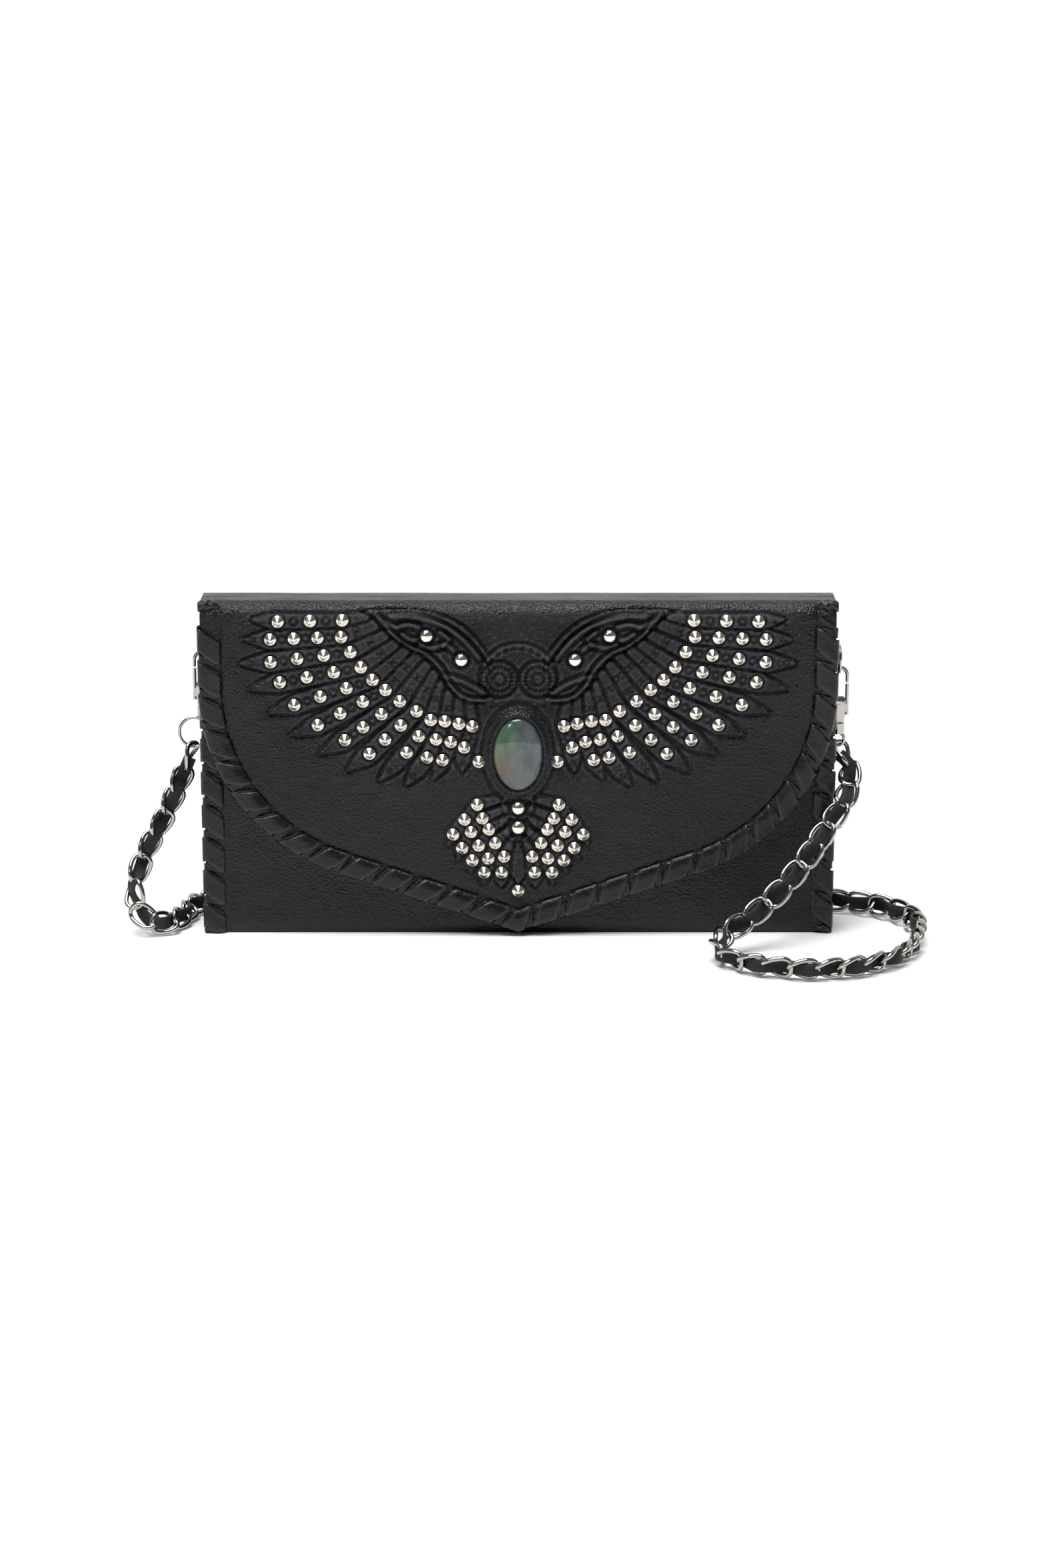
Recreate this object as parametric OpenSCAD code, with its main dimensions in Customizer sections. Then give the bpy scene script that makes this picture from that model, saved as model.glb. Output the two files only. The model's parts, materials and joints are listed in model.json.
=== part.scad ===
// Long envelope wallet in laced leather, with a metal chain strap clipped on at both sides.
// Millimetres, +Z up, front towards -Y, origin on the underside of the base at its centre.

/* [Wallet] */
// Overall width, lacing included
wallet_w = 248; // [246:1:252]
// Overall height of the closed wallet
wallet_h = 134; // [132:1:138]
// Height of the front panel and of the gussets
front_h = 100; // [96:1:104]
// Thickness of the flap and back leather
flap_t = 2.2; // [1.8:0.1:2.4]
// Thickness of the front and base leather
panel_t = 2; // [1.6:0.1:2.2]
// Thickness of a lining
lining_t = 0.5; // [0.4:0.1:0.6]
// Depth of each banknote compartment
slot_d = 4.3; // [4.2:0.1:4.6]
// Depth of the coin pouch
pouch_d = 5.2; // [5:0.1:5.6]

/* [Flap] */
// Radius of the round shoulders of the flap
shoulder_r = 77; // [70:1:85]
// Height of the flap's tip above the base
tip_z = 3; // [2.5:0.5:6]
// Radius of the folds along the top
fold_r = 7; // [6:0.5:8]

/* [Lacing] */
// Width of the lace
lace_w = 9; // [7:0.5:10]
// Thickness of the lace
lace_t = 0.8; // [0.6:0.1:0.9]
// Reach of the lace from the edge to its slits
lace_reach = 7.2; // [6:0.1:8]
// Distance between wraps of the lace
lace_pitch = 13.4; // [12:0.2:15]

/* [Studs] */
// Diameter of a cone stud
stud_d = 5; // [4:0.1:5]
// Diameter of a dome stud
dome_d = 6; // [5:0.1:6.5]
// Width of the oval stone
stone_w = 20; // [16:1:20]
// Height of the oval stone
stone_h = 30; // [26:1:30]

/* [Strap hardware] */
// Wire diameter of the rings and clasps
wire_d = 1.5; // [1.2:0.1:1.6]
// Outer diameter of the strap rings
ring_d = 12; // [11:0.5:12]
// Greatest thickness of the chain strap
chain_d = 9; // [8:0.5:9]

/* [Hidden] */
$fn = 48;

leather = "#1c1b1f";
suede = "#2a2623";
nickel = "#d8d4cc";
stone_colour = "#3b4a46";

// Layers from the front of the flap to the back panel
panel_w = wallet_w - 2 * lace_t;
flap_lining_t = 0.6;
flap_gap = 2;
pouch_wall_t = 0.8;
pocket_t = 0.6;
pocket_count = 3;
y_flap = -13.4;
y_flap_lining = y_flap + flap_t;
y_front = y_flap_lining + flap_lining_t + flap_gap;
y_front_lining = y_front + panel_t;
y_slot_front = y_front_lining + lining_t;
y_pouch_front = y_slot_front + slot_d;
y_pouch = y_pouch_front + pouch_wall_t;
y_pouch_back = y_pouch + pouch_d;
y_slot_back = y_pouch_back + pouch_wall_t;
y_pockets = y_slot_back + slot_d;
y_back_lining = y_pockets + pocket_count * pocket_t;
y_back = y_back_lining + lining_t;
y_rear = y_back + flap_t;

// Shoulder arcs end where the sloping edges from the tip touch them
shoulder_x = panel_w / 2 - shoulder_r;
tip_reach = norm([shoulder_x, front_h - tip_z]);
edge_angle = atan2(front_h - tip_z, shoulder_x) - asin(shoulder_r / tip_reach);
slope_l = sqrt(pow(tip_reach, 2) - pow(shoulder_r, 2));

// The back panel ends below the fold, where the flap hinges on it
hinge_z = wallet_h - fold_r;
hinge_gap = 0.3;
bend_y = y_flap + fold_r * (1 - cos(45));
bend_z = wallet_h - fold_r * (1 - sin(45));
lining_drop = 4;
lace_top_gap = 6;
base_gap = 0.3;

// Gussets fold inwards between the front and the back
gusset_x = 121;
gusset_fold_x = 111;
gusset_t = 1;
gusset_drop = 4;

pocket_w = 200;
pocket_tops = [52, 66, 80];
pouch_w = 208;
pouch_z = 6;
pouch_h = 86;
pouch_gusset_t = 1;

pouch_tongue_inset = 10;
pouch_gusset_drop = 8;

zip_tape_h = 0.7;
zip_tooth_h = 2;
zip_tooth_w = 1.2;
zip_tooth_l = 1.3;
zip_pitch = 2.6;
zip_z = pouch_z + pouch_h;
zip_y = y_pouch + pouch_d / 2;
zip_stop_l = 2;
zip_start_x = -96;
slider_l = 8;
slider_t = 1.2;
slider_overhang = 0.8;
slider_gap = 0.4;
slider_inner_w = 3.8;
slider_post = [4, 1.4];
ear = [3, 1, 3.4];
ear_y = 1.6;
pull_z = zip_z + 5.6;
pull_l = 20;
pull_w = 4.4;
pull_t = 1.2;
pull_neck_w = 1.8;
pull_neck_l = 3.9;
pull_pin_r = 0.6;
pull_pin_l = 4.4;

snap_z = 22;
snap_d = 14;
snap_lower_t = 1;
snap_upper_t = 0.8;

// Rows of cone studs on one wing: first x, z, last x, z and the number in the row
wing_rows = [
    [68, 127, 93, 126.5, 3], [68.5, 120.5, 96, 119.5, 4], [65, 114.5, 96, 110.5, 4],
    [61, 108.5, 92.5, 102.5, 4], [56.5, 103.5, 87, 93.5, 4], [51.5, 99.5, 78, 85.5, 4],
    [46, 95, 67.5, 79.5, 4], [39.5, 91, 58, 74, 4], [34, 87.5, 43.5, 74.5, 3],
    [28.5, 87, 35.5, 72.5, 3], [23, 86, 29.5, 71.5, 3], [17.8, 85, 21, 76.5, 2],
    [15.3, 70.8, 15.3, 70.8, 1]
];
// Rows of cone studs on one half of the tail
tail_rows = [
    [16, 53.5, 16, 53.5, 1], [14, 48, 21, 47.5, 2], [11.5, 43.5, 25.5, 41.5, 3], [9, 38, 22, 36, 3],
    [5.5, 32.5, 18, 31, 3], [6.5, 26, 13.3, 26, 2]
];
tip_stud_z = 18.5;
dome_places = [[0, 52.4], [0, 44.5], [35.4, 121], [-35.4, 121], [22, 111.6], [-22, 111.6]];
stud_rim_h = 0.5;
stud_h = 2.4;
stud_tip_d = 0.4;
stone_z = 74;
stone_rise = 4.5;
bezel_rim = 1.2;
bezel_rise = 2.2;

// Clasps hang beside the wallet: place of the swivel eye's top face
clasp_y = 3;
clasp_left = [-123.6, clasp_y, 89.2];
clasp_right = [125.8, clasp_y, 83];
wire_r = wire_d / 2;
ring_r = ring_d / 2 - wire_r;
hook_r = 3.4;
hook_w = 6.2;
hook_t = 4;
hook_body_h = 10;
hook_shift = 0.3;
hook_wall = 0.7;
slot_w = 2.6;
leg_z = 8;
hook_arc_z = 18.7;
hook_end_z = 16;
gate_tip_z = 15.5;
gate_pin_z = 6;
gate_pin_r = 0.75;
gate_z = 3;
lug_r = 1.6;
lug_t = 1.8;
pin_head_r = 1.5;
pin_head_h = 0.4;
gate_slot_h = 1.5;
run_clear = 0.05;
swivel_r = 0.9;
post_head_r = 1.15;
barrel_r = 2.7;
barrel_z = -4.4;
barrel_h = 4.2;
eye_r = 2.6;
eye_wire_r = 0.65;
eye_z = -6.9;
jump_r = 5.85;
jump_centre = [-127.6, clasp_y, 78.9];
tab_h = 3;
tab_r = 1.9;
tab_bore_r = 1.05;
tab_in_x = 106;
tab_thick_x = 115;
tab_gap = 0.4;
ring_gap = 0.5;
rivet_r = 1.6;
rivet_h = 0.8;
rivet_x = 110;

// Points that the chain strap passes through
left_route = [
    [-129, 3, 70], [-134, 2, 58], [-140, -1, 45], [-147, -4, 32], [-151, -8, 20], [-150, -12, 10.5],
    [-143, -13, 5.8], [-136, -7, 5], [-132.5, 5, 5], [-129.5, 16, 5], [-122, 25, 5]
];
behind_route = [
    [-122, 25, 5], [-108, 28, 5], [-80, 27, 5], [-30, 26, 5], [20, 26, 5], [50, 27, 5], [70, 35, 5],
    [77, 53, 5], [70, 71, 5], [50, 79, 5], [20, 80, 5], [-20, 80, 5], [-50, 81, 5], [-70, 89, 5],
    [-77, 107, 5], [-70, 125, 5], [-50, 133, 5], [-20, 134, 5], [30, 134, 5], [60, 132, 5], [82, 122, 5],
    [92, 102, 5], [93, 70, 5], [95, 50, 5], [104, 32, 5], [122, 23, 5]
];
right_route = [
    [122, 23, 5], [137, 18, 5], [150, 8, 5], [157, -10, 5], [155, -34, 5], [147, -54, 5],
    [131, -69, 5], [112, -74, 5], [95, -70, 5], [82, -61, 5], [77, -50, 6], [81, -40, 9],
    [90, -35, 14], [101, -31.5, 23], [111, -27.5, 34], [120, -22, 46], [128, -15, 57],
    [130.2, -4, 65.5], [126.5, 2, 70]
];
chain_sides = 8;
chain_step = 3;

// ---- shapes used by several parts ----

module sheet(w, h, y, t, z = 0) {
    translate([-w / 2, y, z]) cube([w, t, h]);
}

// Outline of the flap below its fold, drawn back from the edge by inset
module flap_outline(inset, top) {
    half = panel_w / 2 - inset;
    r = shoulder_r - inset;
    tip = tip_z + inset / cos(edge_angle);
    steps = 36;
    shoulder = [
        for (i = [0 : steps]) let (a = edge_angle + (90 - edge_angle) * i / steps)
            [shoulder_x + r * sin(a), front_h - r * cos(a)]
    ];
    right_side = concat([[0, tip]], shoulder, [[half, top]]);
    left_side = [
        for (i = [len(right_side) - 1 : -1 : 1]) [-right_side[i][0], right_side[i][1]]
    ];
    polygon(concat(right_side, left_side));
}

// Section of the leather that goes over the top, seen from the side: the outside of the closed wallet
module fold_section(inset) {
    w = y_rear - y_flap - 2 * inset;
    r = fold_r - inset;
    translate([y_flap + inset, hinge_z]) {
        translate([r, 0]) square([w - 2 * r, r]);
        intersection() {
            union() {
                translate([r, 0]) circle(r = r);
                translate([w - r, 0]) circle(r = r);
            }
            square([w, r]);
        }
    }
}

module fold_strip() {
    difference() {
        fold_section(0);
        fold_section(flap_t);
        translate([y_flap - 1, hinge_z - 1]) square([bend_y - y_flap + 1, fold_r + 2]);
    }
}

module fold_front() {
    intersection() {
        difference() {
            fold_section(0);
            fold_section(flap_t);
        }
        translate([y_flap - 1, hinge_z - 1]) square([bend_y - y_flap + 1 - hinge_gap, fold_r + 2]);
    }
}

module across(w) {
    translate([-w / 2, 0, 0]) rotate([90, 0, 90]) linear_extrude(w) children();
}

module on_front(y, t) {
    translate([0, y + t, 0]) rotate([90, 0, 0]) linear_extrude(t) children();
}

// One wrap of lace over an edge that faces +X, with its leather between y0 and y0 + t
module lace_wrap(y0, t, reach, w) {
    difference() {
        translate([-reach, y0 - lace_t, -w / 2]) cube([reach + lace_t, t + 2 * lace_t, w]);
        translate([-reach - 1, y0, -w]) cube([reach + 1, t, 2 * w]);
    }
}

module side_lace(side, y0, t, top) {
    start = panel_t + base_gap;
    count = floor((top - start - lace_w) / lace_pitch);
    for (i = [0 : count]) {
        translate([side * panel_w / 2, 0, start + lace_w / 2 + i * lace_pitch])
            mirror([side < 0 ? 1 : 0, 0, 0]) lace_wrap(y0, t, lace_reach, lace_w);
    }
}

function stud_spots(rows) = [
    for (row = rows) for (i = [0 : row[4] - 1])
        let (f = row[4] > 1 ? i / (row[4] - 1) : 0)
        [row[0] + f * (row[2] - row[0]), row[1] + f * (row[3] - row[1])]
];

module wire_ring(r, wire) {
    rotate_extrude() translate([r, 0]) circle(r = wire, $fn = 24);
}

// ---- chain strap ----

function catmull(p, i, t) =
    let (a = p[max(i - 1, 0)], b = p[i], c = p[i + 1], d = p[min(i + 2, len(p) - 1)])
    0.5 * (2 * b + (c - a) * t + (2 * a - 5 * b + 4 * c - d) * t * t + (3 * b - a - 3 * c + d) * t * t * t);

// A point in the middle of each stretch longer than chain_step diameters keeps the rings evenly spread
function fill_route(p) = concat(
    [for (i = [0 : len(p) - 2])
        let (n = max(1, round(norm(p[i + 1] - p[i]) / (chain_d * chain_step))))
        for (k = [0 : n - 1]) catmull(p, i, k / n)],
    [p[len(p) - 1]]
);

function unit(v) = v / norm(v);

function heading(p, i) = unit(p[min(i + 1, len(p) - 1)] - p[max(i - 1, 0)]);

// Sideways direction at point i, carried along from the start so that the tube doesn't twist
function side_of(p, i) =
    let (d = heading(p, i), last = i == 0 ? [0, 1, 0] : side_of(p, i - 1))
    unit(last - (last * d) * d);

module chain_tube(route) {
    p = fill_route(route);
    n = chain_sides;
    points = [
        for (i = [0 : len(p) - 1]) let (u = side_of(p, i), v = cross(heading(p, i), u))
            for (k = [0 : n - 1]) p[i] + chain_d / 2 * (cos(360 * k / n) * u + sin(360 * k / n) * v)
    ];
    skin = [
        for (i = [0 : len(p) - 2]) for (k = [0 : n - 1])
            [i * n + k, (i + 1) * n + k, (i + 1) * n + (k + 1) % n, i * n + (k + 1) % n]
    ];
    ends = [[for (k = [0 : n - 1]) k], [for (k = [0 : n - 1]) len(points) - 1 - k]];
    polyhedron(points, concat(skin, ends), convexity = 10);
}

// ---- leather body ----

module back_panel() {
    color(leather) sheet(panel_w, hinge_z - hinge_gap, y_back, flap_t);
}

module front_panel() {
    color(leather) sheet(panel_w, front_h, y_front, panel_t);
}

module base_panel() {
    color(leather) sheet(panel_w, panel_t, y_front_lining, y_back - y_front_lining);
}

module gusset(side) {
    z0 = panel_t + base_gap;
    h = front_h - gusset_drop - z0;
    y0 = y_slot_front + lace_t;
    y1 = y_back_lining - lace_t;
    y_mid = (y0 + y1) / 2;
    edge_x = gusset_x - 2 * gusset_t;
    color(leather) mirror([side < 0 ? 1 : 0, 0, 0]) translate([0, 0, z0]) linear_extrude(h)
        polygon([
            [gusset_x, y0], [gusset_fold_x, y_mid], [gusset_x, y1],
            [edge_x, y1], [gusset_fold_x - gusset_t, y_mid], [edge_x, y0]
        ]);
}

module gusset_left() { gusset(-1); }
module gusset_right() { gusset(1); }

module back_lining() {
    color(suede) sheet(2 * gusset_x, hinge_z - lining_drop - panel_t, y_back_lining, lining_t, panel_t);
}

module front_lining() {
    color(suede) sheet(2 * gusset_x, front_h - 1 - panel_t, y_front_lining, lining_t, panel_t);
}

module card_pocket(i) {
    color(leather) sheet(pocket_w, pocket_tops[i] - panel_t, y_pockets + i * pocket_t, pocket_t, panel_t);
}

module pouch_front() {
    color(suede) sheet(pouch_w, pouch_h, y_pouch_front, pouch_wall_t, pouch_z);
}

module pouch_back() {
    color(suede) sheet(pouch_w, pouch_h, y_pouch_back, pouch_wall_t, pouch_z);
}

// Bottom and sides of the coin pouch, with a tongue sewn to the base
module pouch_gusset() {
    side_h = pouch_h - pouch_gusset_drop;
    tongue_w = pouch_w - 2 * pouch_tongue_inset;
    color(suede) union() {
        sheet(pouch_w, pouch_gusset_t, y_pouch, pouch_d, pouch_z);
        for (side = [-1, 1]) translate([side * (pouch_w - pouch_gusset_t) / 2, 0, 0])
            sheet(pouch_gusset_t, side_h, y_pouch, pouch_d, pouch_z);
        sheet(tongue_w, pouch_z - panel_t, zip_y - pouch_gusset_t / 2, pouch_gusset_t, panel_t);
    }
}

// ---- zip of the coin pouch ----

module zip_row(y) {
    color(nickel) {
        sheet(pouch_w - 2 * zip_stop_l, zip_tape_h, y, pouch_wall_t, zip_z);
        for (x = [2 * zip_stop_l - pouch_w / 2 : zip_pitch : pouch_w / 2 - 2 * zip_stop_l])
            translate([x, y - (zip_tooth_w - pouch_wall_t) / 2, zip_z + zip_tape_h])
                cube([zip_tooth_l, zip_tooth_w, zip_tooth_h - zip_tape_h]);
    }
}

module zip_row_front() { zip_row(y_pouch_front); }
module zip_row_back() { zip_row(y_pouch_back); }

module zip_stops() {
    color(nickel) for (side = [-1, 1])
        translate([side * (pouch_w - zip_stop_l) / 2 - zip_stop_l / 2, y_pouch_front, zip_z])
            cube([zip_stop_l, pouch_d + 2 * pouch_wall_t, zip_tooth_h]);
}

// Plate over the teeth, plate inside the pouch, a post between them and two ears for the pull's pin
module zip_slider() {
    plate_w = pouch_d + 2 * pouch_wall_t + 2 * slider_overhang;
    plate_z = zip_z + zip_tooth_h + slider_gap;
    color(nickel) translate([zip_start_x, zip_y, 0]) difference() {
        union() {
            translate([-slider_l / 2, -plate_w / 2, plate_z]) cube([slider_l, plate_w, slider_t]);
            translate([-slider_l / 2, -slider_inner_w / 2, zip_z - 2])
                cube([slider_l, slider_inner_w, slider_t]);
            translate([-slider_post[0] / 2, -slider_post[1] / 2, zip_z - 1])
                cube([slider_post[0], slider_post[1], plate_z - zip_z + 1.5]);
            for (side = [-1, 1]) translate([-ear[0] / 2, side * ear_y - ear[1] / 2, plate_z + 1]) cube(ear);
        }
        translate([0, -slider_l / 2, pull_z]) rotate([-90, 0, 0])
            cylinder(r = pull_pin_r + 2 * run_clear, h = slider_l);
    }
}

module zip_pull() {
    color(nickel) translate([zip_start_x, zip_y, pull_z]) {
        rotate([90, 0, 0]) cylinder(r = pull_pin_r, h = pull_pin_l, center = true);
        translate([-pull_neck_w + 0.7, -pull_neck_w / 2, -pull_t / 2])
            cube([pull_neck_l + pull_neck_w - 0.7, pull_neck_w, pull_t]);
        translate([pull_neck_l - 0.3, -pull_w / 2, -pull_t / 2])
            cube([pull_l - pull_neck_l + 0.3, pull_w, pull_t]);
    }
}

// ---- magnetic closure ----

module snap_lower() {
    color(nickel) on_front(y_front - snap_lower_t, snap_lower_t) translate([0, snap_z]) circle(d = snap_d);
}

module snap_upper() {
    y = y_flap_lining + flap_lining_t;
    color(nickel) on_front(y, snap_upper_t) translate([0, snap_z]) circle(d = snap_d);
}

// ---- lacing ----

module lace_front(side) {
    color(leather) side_lace(side, y_front, panel_t + lining_t, front_h);
}

module lace_back(side) {
    color(leather) side_lace(side, y_back_lining, flap_t + lining_t, hinge_z - lace_top_gap);
}

module lace_front_left() { lace_front(-1); }
module lace_front_right() { lace_front(1); }
module lace_back_left() { lace_back(-1); }
module lace_back_right() { lace_back(1); }

// Wraps along the straight sides, the round shoulders and the sloping edges of the flap
module flap_lace() {
    t = flap_t + flap_lining_t;
    arc_l = (90 - edge_angle) * PI / 180 * shoulder_r;
    arc_n = round(arc_l / lace_pitch);
    slope_n = floor(slope_l / lace_pitch) - 1;
    color(leather) for (side = [0, 1]) mirror([side, 0, 0]) {
        for (i = [0, 1]) translate([panel_w / 2, 0, front_h + 5 + i * lace_pitch])
            lace_wrap(y_flap, t, lace_reach, lace_w);
        for (i = [0 : arc_n - 1]) translate([shoulder_x, 0, front_h])
            rotate([0, (i + 0.5) / arc_n * (90 - edge_angle), 0]) translate([shoulder_r, 0, 0])
                lace_wrap(y_flap, t, lace_reach, lace_w);
        for (i = [0 : slope_n]) translate([0, 0, tip_z]) rotate([0, 90 - edge_angle, 0])
            translate([0, 0, slope_l - (i + 0.5) * lace_pitch])
                lace_wrap(y_flap, t, lace_reach, lace_w);
    }
}

// ---- flap ----

module flap_top() {
    color(leather) across(panel_w) fold_strip();
}

module flap_plate() {
    color(leather) union() {
        on_front(y_flap, flap_t) flap_outline(0, hinge_z);
        across(panel_w) fold_front();
    }
}

module flap_lining() {
    color(suede) on_front(y_flap_lining, flap_lining_t) flap_outline(lining_t, hinge_z - lining_drop);
}

module cone_studs() {
    spots = concat(stud_spots(wing_rows), stud_spots(tail_rows));
    all_spots = concat(spots, [for (s = spots) [-s[0], s[1]]], [[0, tip_stud_z]]);
    color(nickel) for (s = all_spots) translate([s[0], y_flap, s[1]]) rotate([90, 0, 0]) {
        cylinder(d = stud_d, h = stud_rim_h);
        translate([0, 0, stud_rim_h]) cylinder(d1 = stud_d, d2 = stud_tip_d, h = stud_h - stud_rim_h);
    }
}

module dome_studs() {
    dome_r = dome_d / 2;
    color(nickel) for (s = dome_places) translate([s[0], y_flap, s[1]]) rotate([90, 0, 0])
        intersection() {
            sphere(r = dome_r);
            cylinder(r = dome_r, h = dome_r);
        }
}

function ellipse(a, b) = [for (i = [0 : $fn - 1]) [a * cos(360 * i / $fn), b * sin(360 * i / $fn)]];

module stone() {
    rings = 6;
    n = 36;
    dome = [
        for (k = [0 : rings - 1]) let (c = cos(90 * k / rings), rise = sin(90 * k / rings))
            for (s = [0 : n - 1]) let (t = 360 * s / n)
                [stone_w / 2 * c * cos(t), y_flap - stone_rise * rise, stone_z + stone_h / 2 * c * sin(t)]
    ];
    top = [0, y_flap - stone_rise, stone_z];
    skin = [
        for (k = [0 : rings - 2]) for (i = [0 : n - 1])
            [k * n + i, k * n + (i + 1) % n, (k + 1) * n + (i + 1) % n, (k + 1) * n + i]
    ];
    crown = [for (i = [0 : n - 1]) [(rings - 1) * n + i, (rings - 1) * n + (i + 1) % n, rings * n]];
    seat = [for (i = [0 : n - 1]) n - 1 - i];
    color(stone_colour) polyhedron(concat(dome, [top]), concat(skin, crown, [seat]));
}

module bezel() {
    a = stone_w / 2 + run_clear;
    b = stone_h / 2 + run_clear;
    color(leather) translate([0, 0, stone_z]) on_front(y_flap - bezel_rise, bezel_rise) difference() {
        polygon(ellipse(a + bezel_rim, b + bezel_rim));
        polygon(ellipse(a, b));
    }
}

// ---- strap hardware ----

function ring_z(place) = place[2] + hook_arc_z + hook_r - wire_d + ring_r - ring_gap;

// Leather loop around the rear of the strap ring, riveted on the back lining
module ring_tab(place) {
    side = sign(place[0]);
    x = abs(place[0]);
    y = clasp_y + ring_r;
    z = ring_z(place) - tab_h / 2;
    color(leather) mirror([side < 0 ? 1 : 0, 0, 0]) difference() {
        union() {
            translate([x, y, z]) cylinder(r = tab_r, h = tab_h);
            translate([tab_thick_x, y + tab_gap, z]) cube([x - tab_thick_x, tab_r - 0.7, tab_h]);
            translate([tab_in_x, y + tab_gap, z])
                cube([tab_thick_x - tab_in_x, y_back_lining - y - tab_gap, tab_h]);
        }
        translate([x, y, z - 1]) cylinder(r = tab_bore_r, h = tab_h + 2);
    }
}

module ring_tab_left() { ring_tab(clasp_left); }
module ring_tab_right() { ring_tab(clasp_right); }

module tab_rivets() {
    color(nickel) for (place = [clasp_left, clasp_right])
        translate([sign(place[0]) * rivet_x, clasp_y + ring_r + tab_gap, ring_z(place)])
            rotate([90, 0, 0]) cylinder(r = rivet_r, h = rivet_h);
}

module strap_ring(place) {
    color(nickel) translate([place[0], clasp_y, ring_z(place)]) rotate([0, 90, 0]) wire_ring(ring_r, wire_r);
}

module ring_left() { strap_ring(clasp_left); }
module ring_right() { strap_ring(clasp_right); }

// Body with a slot for the gate, a fixed leg on the wallet's side and the arc over to the gate's tip
module clasp(place) {
    outer = sign(place[0]);
    color(nickel) translate(place) mirror([outer < 0 ? 1 : 0, 0, 0]) {
        difference() {
            translate([-hook_w / 2 - hook_shift, -hook_t / 2, 0]) cube([hook_w, hook_t, hook_body_h]);
            translate([-hook_w / 2 + hook_wall, -slot_w / 2, gate_slot_h])
                cube([hook_w, slot_w, hook_body_h]);
            translate([0, 0, -1]) cylinder(r = swivel_r + run_clear, h = gate_slot_h + 2);
            translate([0, 0, gate_pin_z]) rotate([90, 0, 0])
                cylinder(r = gate_pin_r + run_clear, h = 2 * hook_t, center = true);
        }
        translate([-hook_r, 0, leg_z]) cylinder(r = wire_r, h = hook_arc_z - leg_z);
        translate([0, 0, hook_arc_z]) rotate([90, 0, 0]) intersection() {
            wire_ring(hook_r, wire_r);
            translate([-2 * hook_r, 0, -wire_d]) cube([4 * hook_r, 2 * hook_r, 2 * wire_d]);
        }
        translate([hook_r, 0, hook_end_z]) cylinder(r = wire_r, h = hook_arc_z - hook_end_z);
    }
}

module clasp_left() { clasp(clasp_left); }
module clasp_right() { clasp(clasp_right); }

module gate(place) {
    outer = sign(place[0]);
    color(nickel) translate(place) mirror([outer < 0 ? 1 : 0, 0, 0]) difference() {
        union() {
            translate([0, 0, gate_pin_z]) rotate([90, 0, 0]) cylinder(r = lug_r, h = lug_t, center = true);
            translate([0, -lug_t / 2, gate_pin_z - lug_r]) cube([hook_r, lug_t, 2 * lug_r]);
            translate([hook_r, 0, gate_z]) cylinder(r = wire_r, h = gate_tip_z - gate_z);
        }
        translate([0, 0, gate_pin_z]) rotate([90, 0, 0])
            cylinder(r = gate_pin_r + run_clear, h = 2 * lug_t, center = true);
    }
}

module gate_left() { gate(clasp_left); }
module gate_right() { gate(clasp_right); }

module gate_pin(place) {
    color(nickel) translate([place[0], place[1], place[2] + gate_pin_z]) rotate([90, 0, 0]) {
        cylinder(r = gate_pin_r, h = hook_t, center = true);
        for (z = [-hook_t / 2 - pin_head_h, hook_t / 2])
            translate([0, 0, z]) cylinder(r = pin_head_r, h = pin_head_h);
    }
}

module gate_pin_left() { gate_pin(clasp_left); }
module gate_pin_right() { gate_pin(clasp_right); }

// Post with its head inside the clasp, barrel below it, and the eye that takes the strap
module swivel(place, turn) {
    color(nickel) translate(place) {
        translate([0, 0, -0.5]) cylinder(r = swivel_r, h = gate_slot_h + 1);
        translate([0, 0, gate_slot_h + 0.1]) cylinder(r = post_head_r, h = 0.7);
        translate([0, 0, barrel_z]) cylinder(r = barrel_r, h = barrel_h);
        translate([0, 0, eye_z]) rotate([90, 0, turn]) wire_ring(eye_r, eye_wire_r);
    }
}

module swivel_left() { swivel(clasp_left, 90); }
module swivel_right() { swivel(clasp_right, 0); }

module jump_ring() {
    color(nickel) translate(jump_centre) rotate([90, 0, 0]) wire_ring(jump_r, eye_wire_r);
}

module chain_left() { color(nickel) chain_tube(left_route); }
module chain_behind() { color(nickel) chain_tube(behind_route); }
module chain_right() { color(nickel) chain_tube(right_route); }

back_panel();
front_panel();
base_panel();
gusset_left();
gusset_right();
back_lining();
front_lining();
card_pocket(0);  // card_pocket_1
card_pocket(1);  // card_pocket_2
card_pocket(2);  // card_pocket_3
pouch_front();
pouch_back();
pouch_gusset();
zip_row_front();
zip_row_back();
zip_stops();
zip_slider();
zip_pull();
snap_lower();
snap_upper();
lace_front_left();
lace_front_right();
lace_back_left();
lace_back_right();
flap_top();
flap_plate();
flap_lining();
flap_lace();
cone_studs();
dome_studs();
stone();
bezel();
ring_tab_left();
ring_tab_right();
tab_rivets();
ring_left();
ring_right();
clasp_left();
clasp_right();
gate_left();
gate_right();
gate_pin_left();
gate_pin_right();
swivel_left();
swivel_right();
jump_ring();
chain_left();
chain_behind();
chain_right();
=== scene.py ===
"""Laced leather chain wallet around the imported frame. Lengths are millimetres until a mesh is made."""
import json
import math
import random

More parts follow.
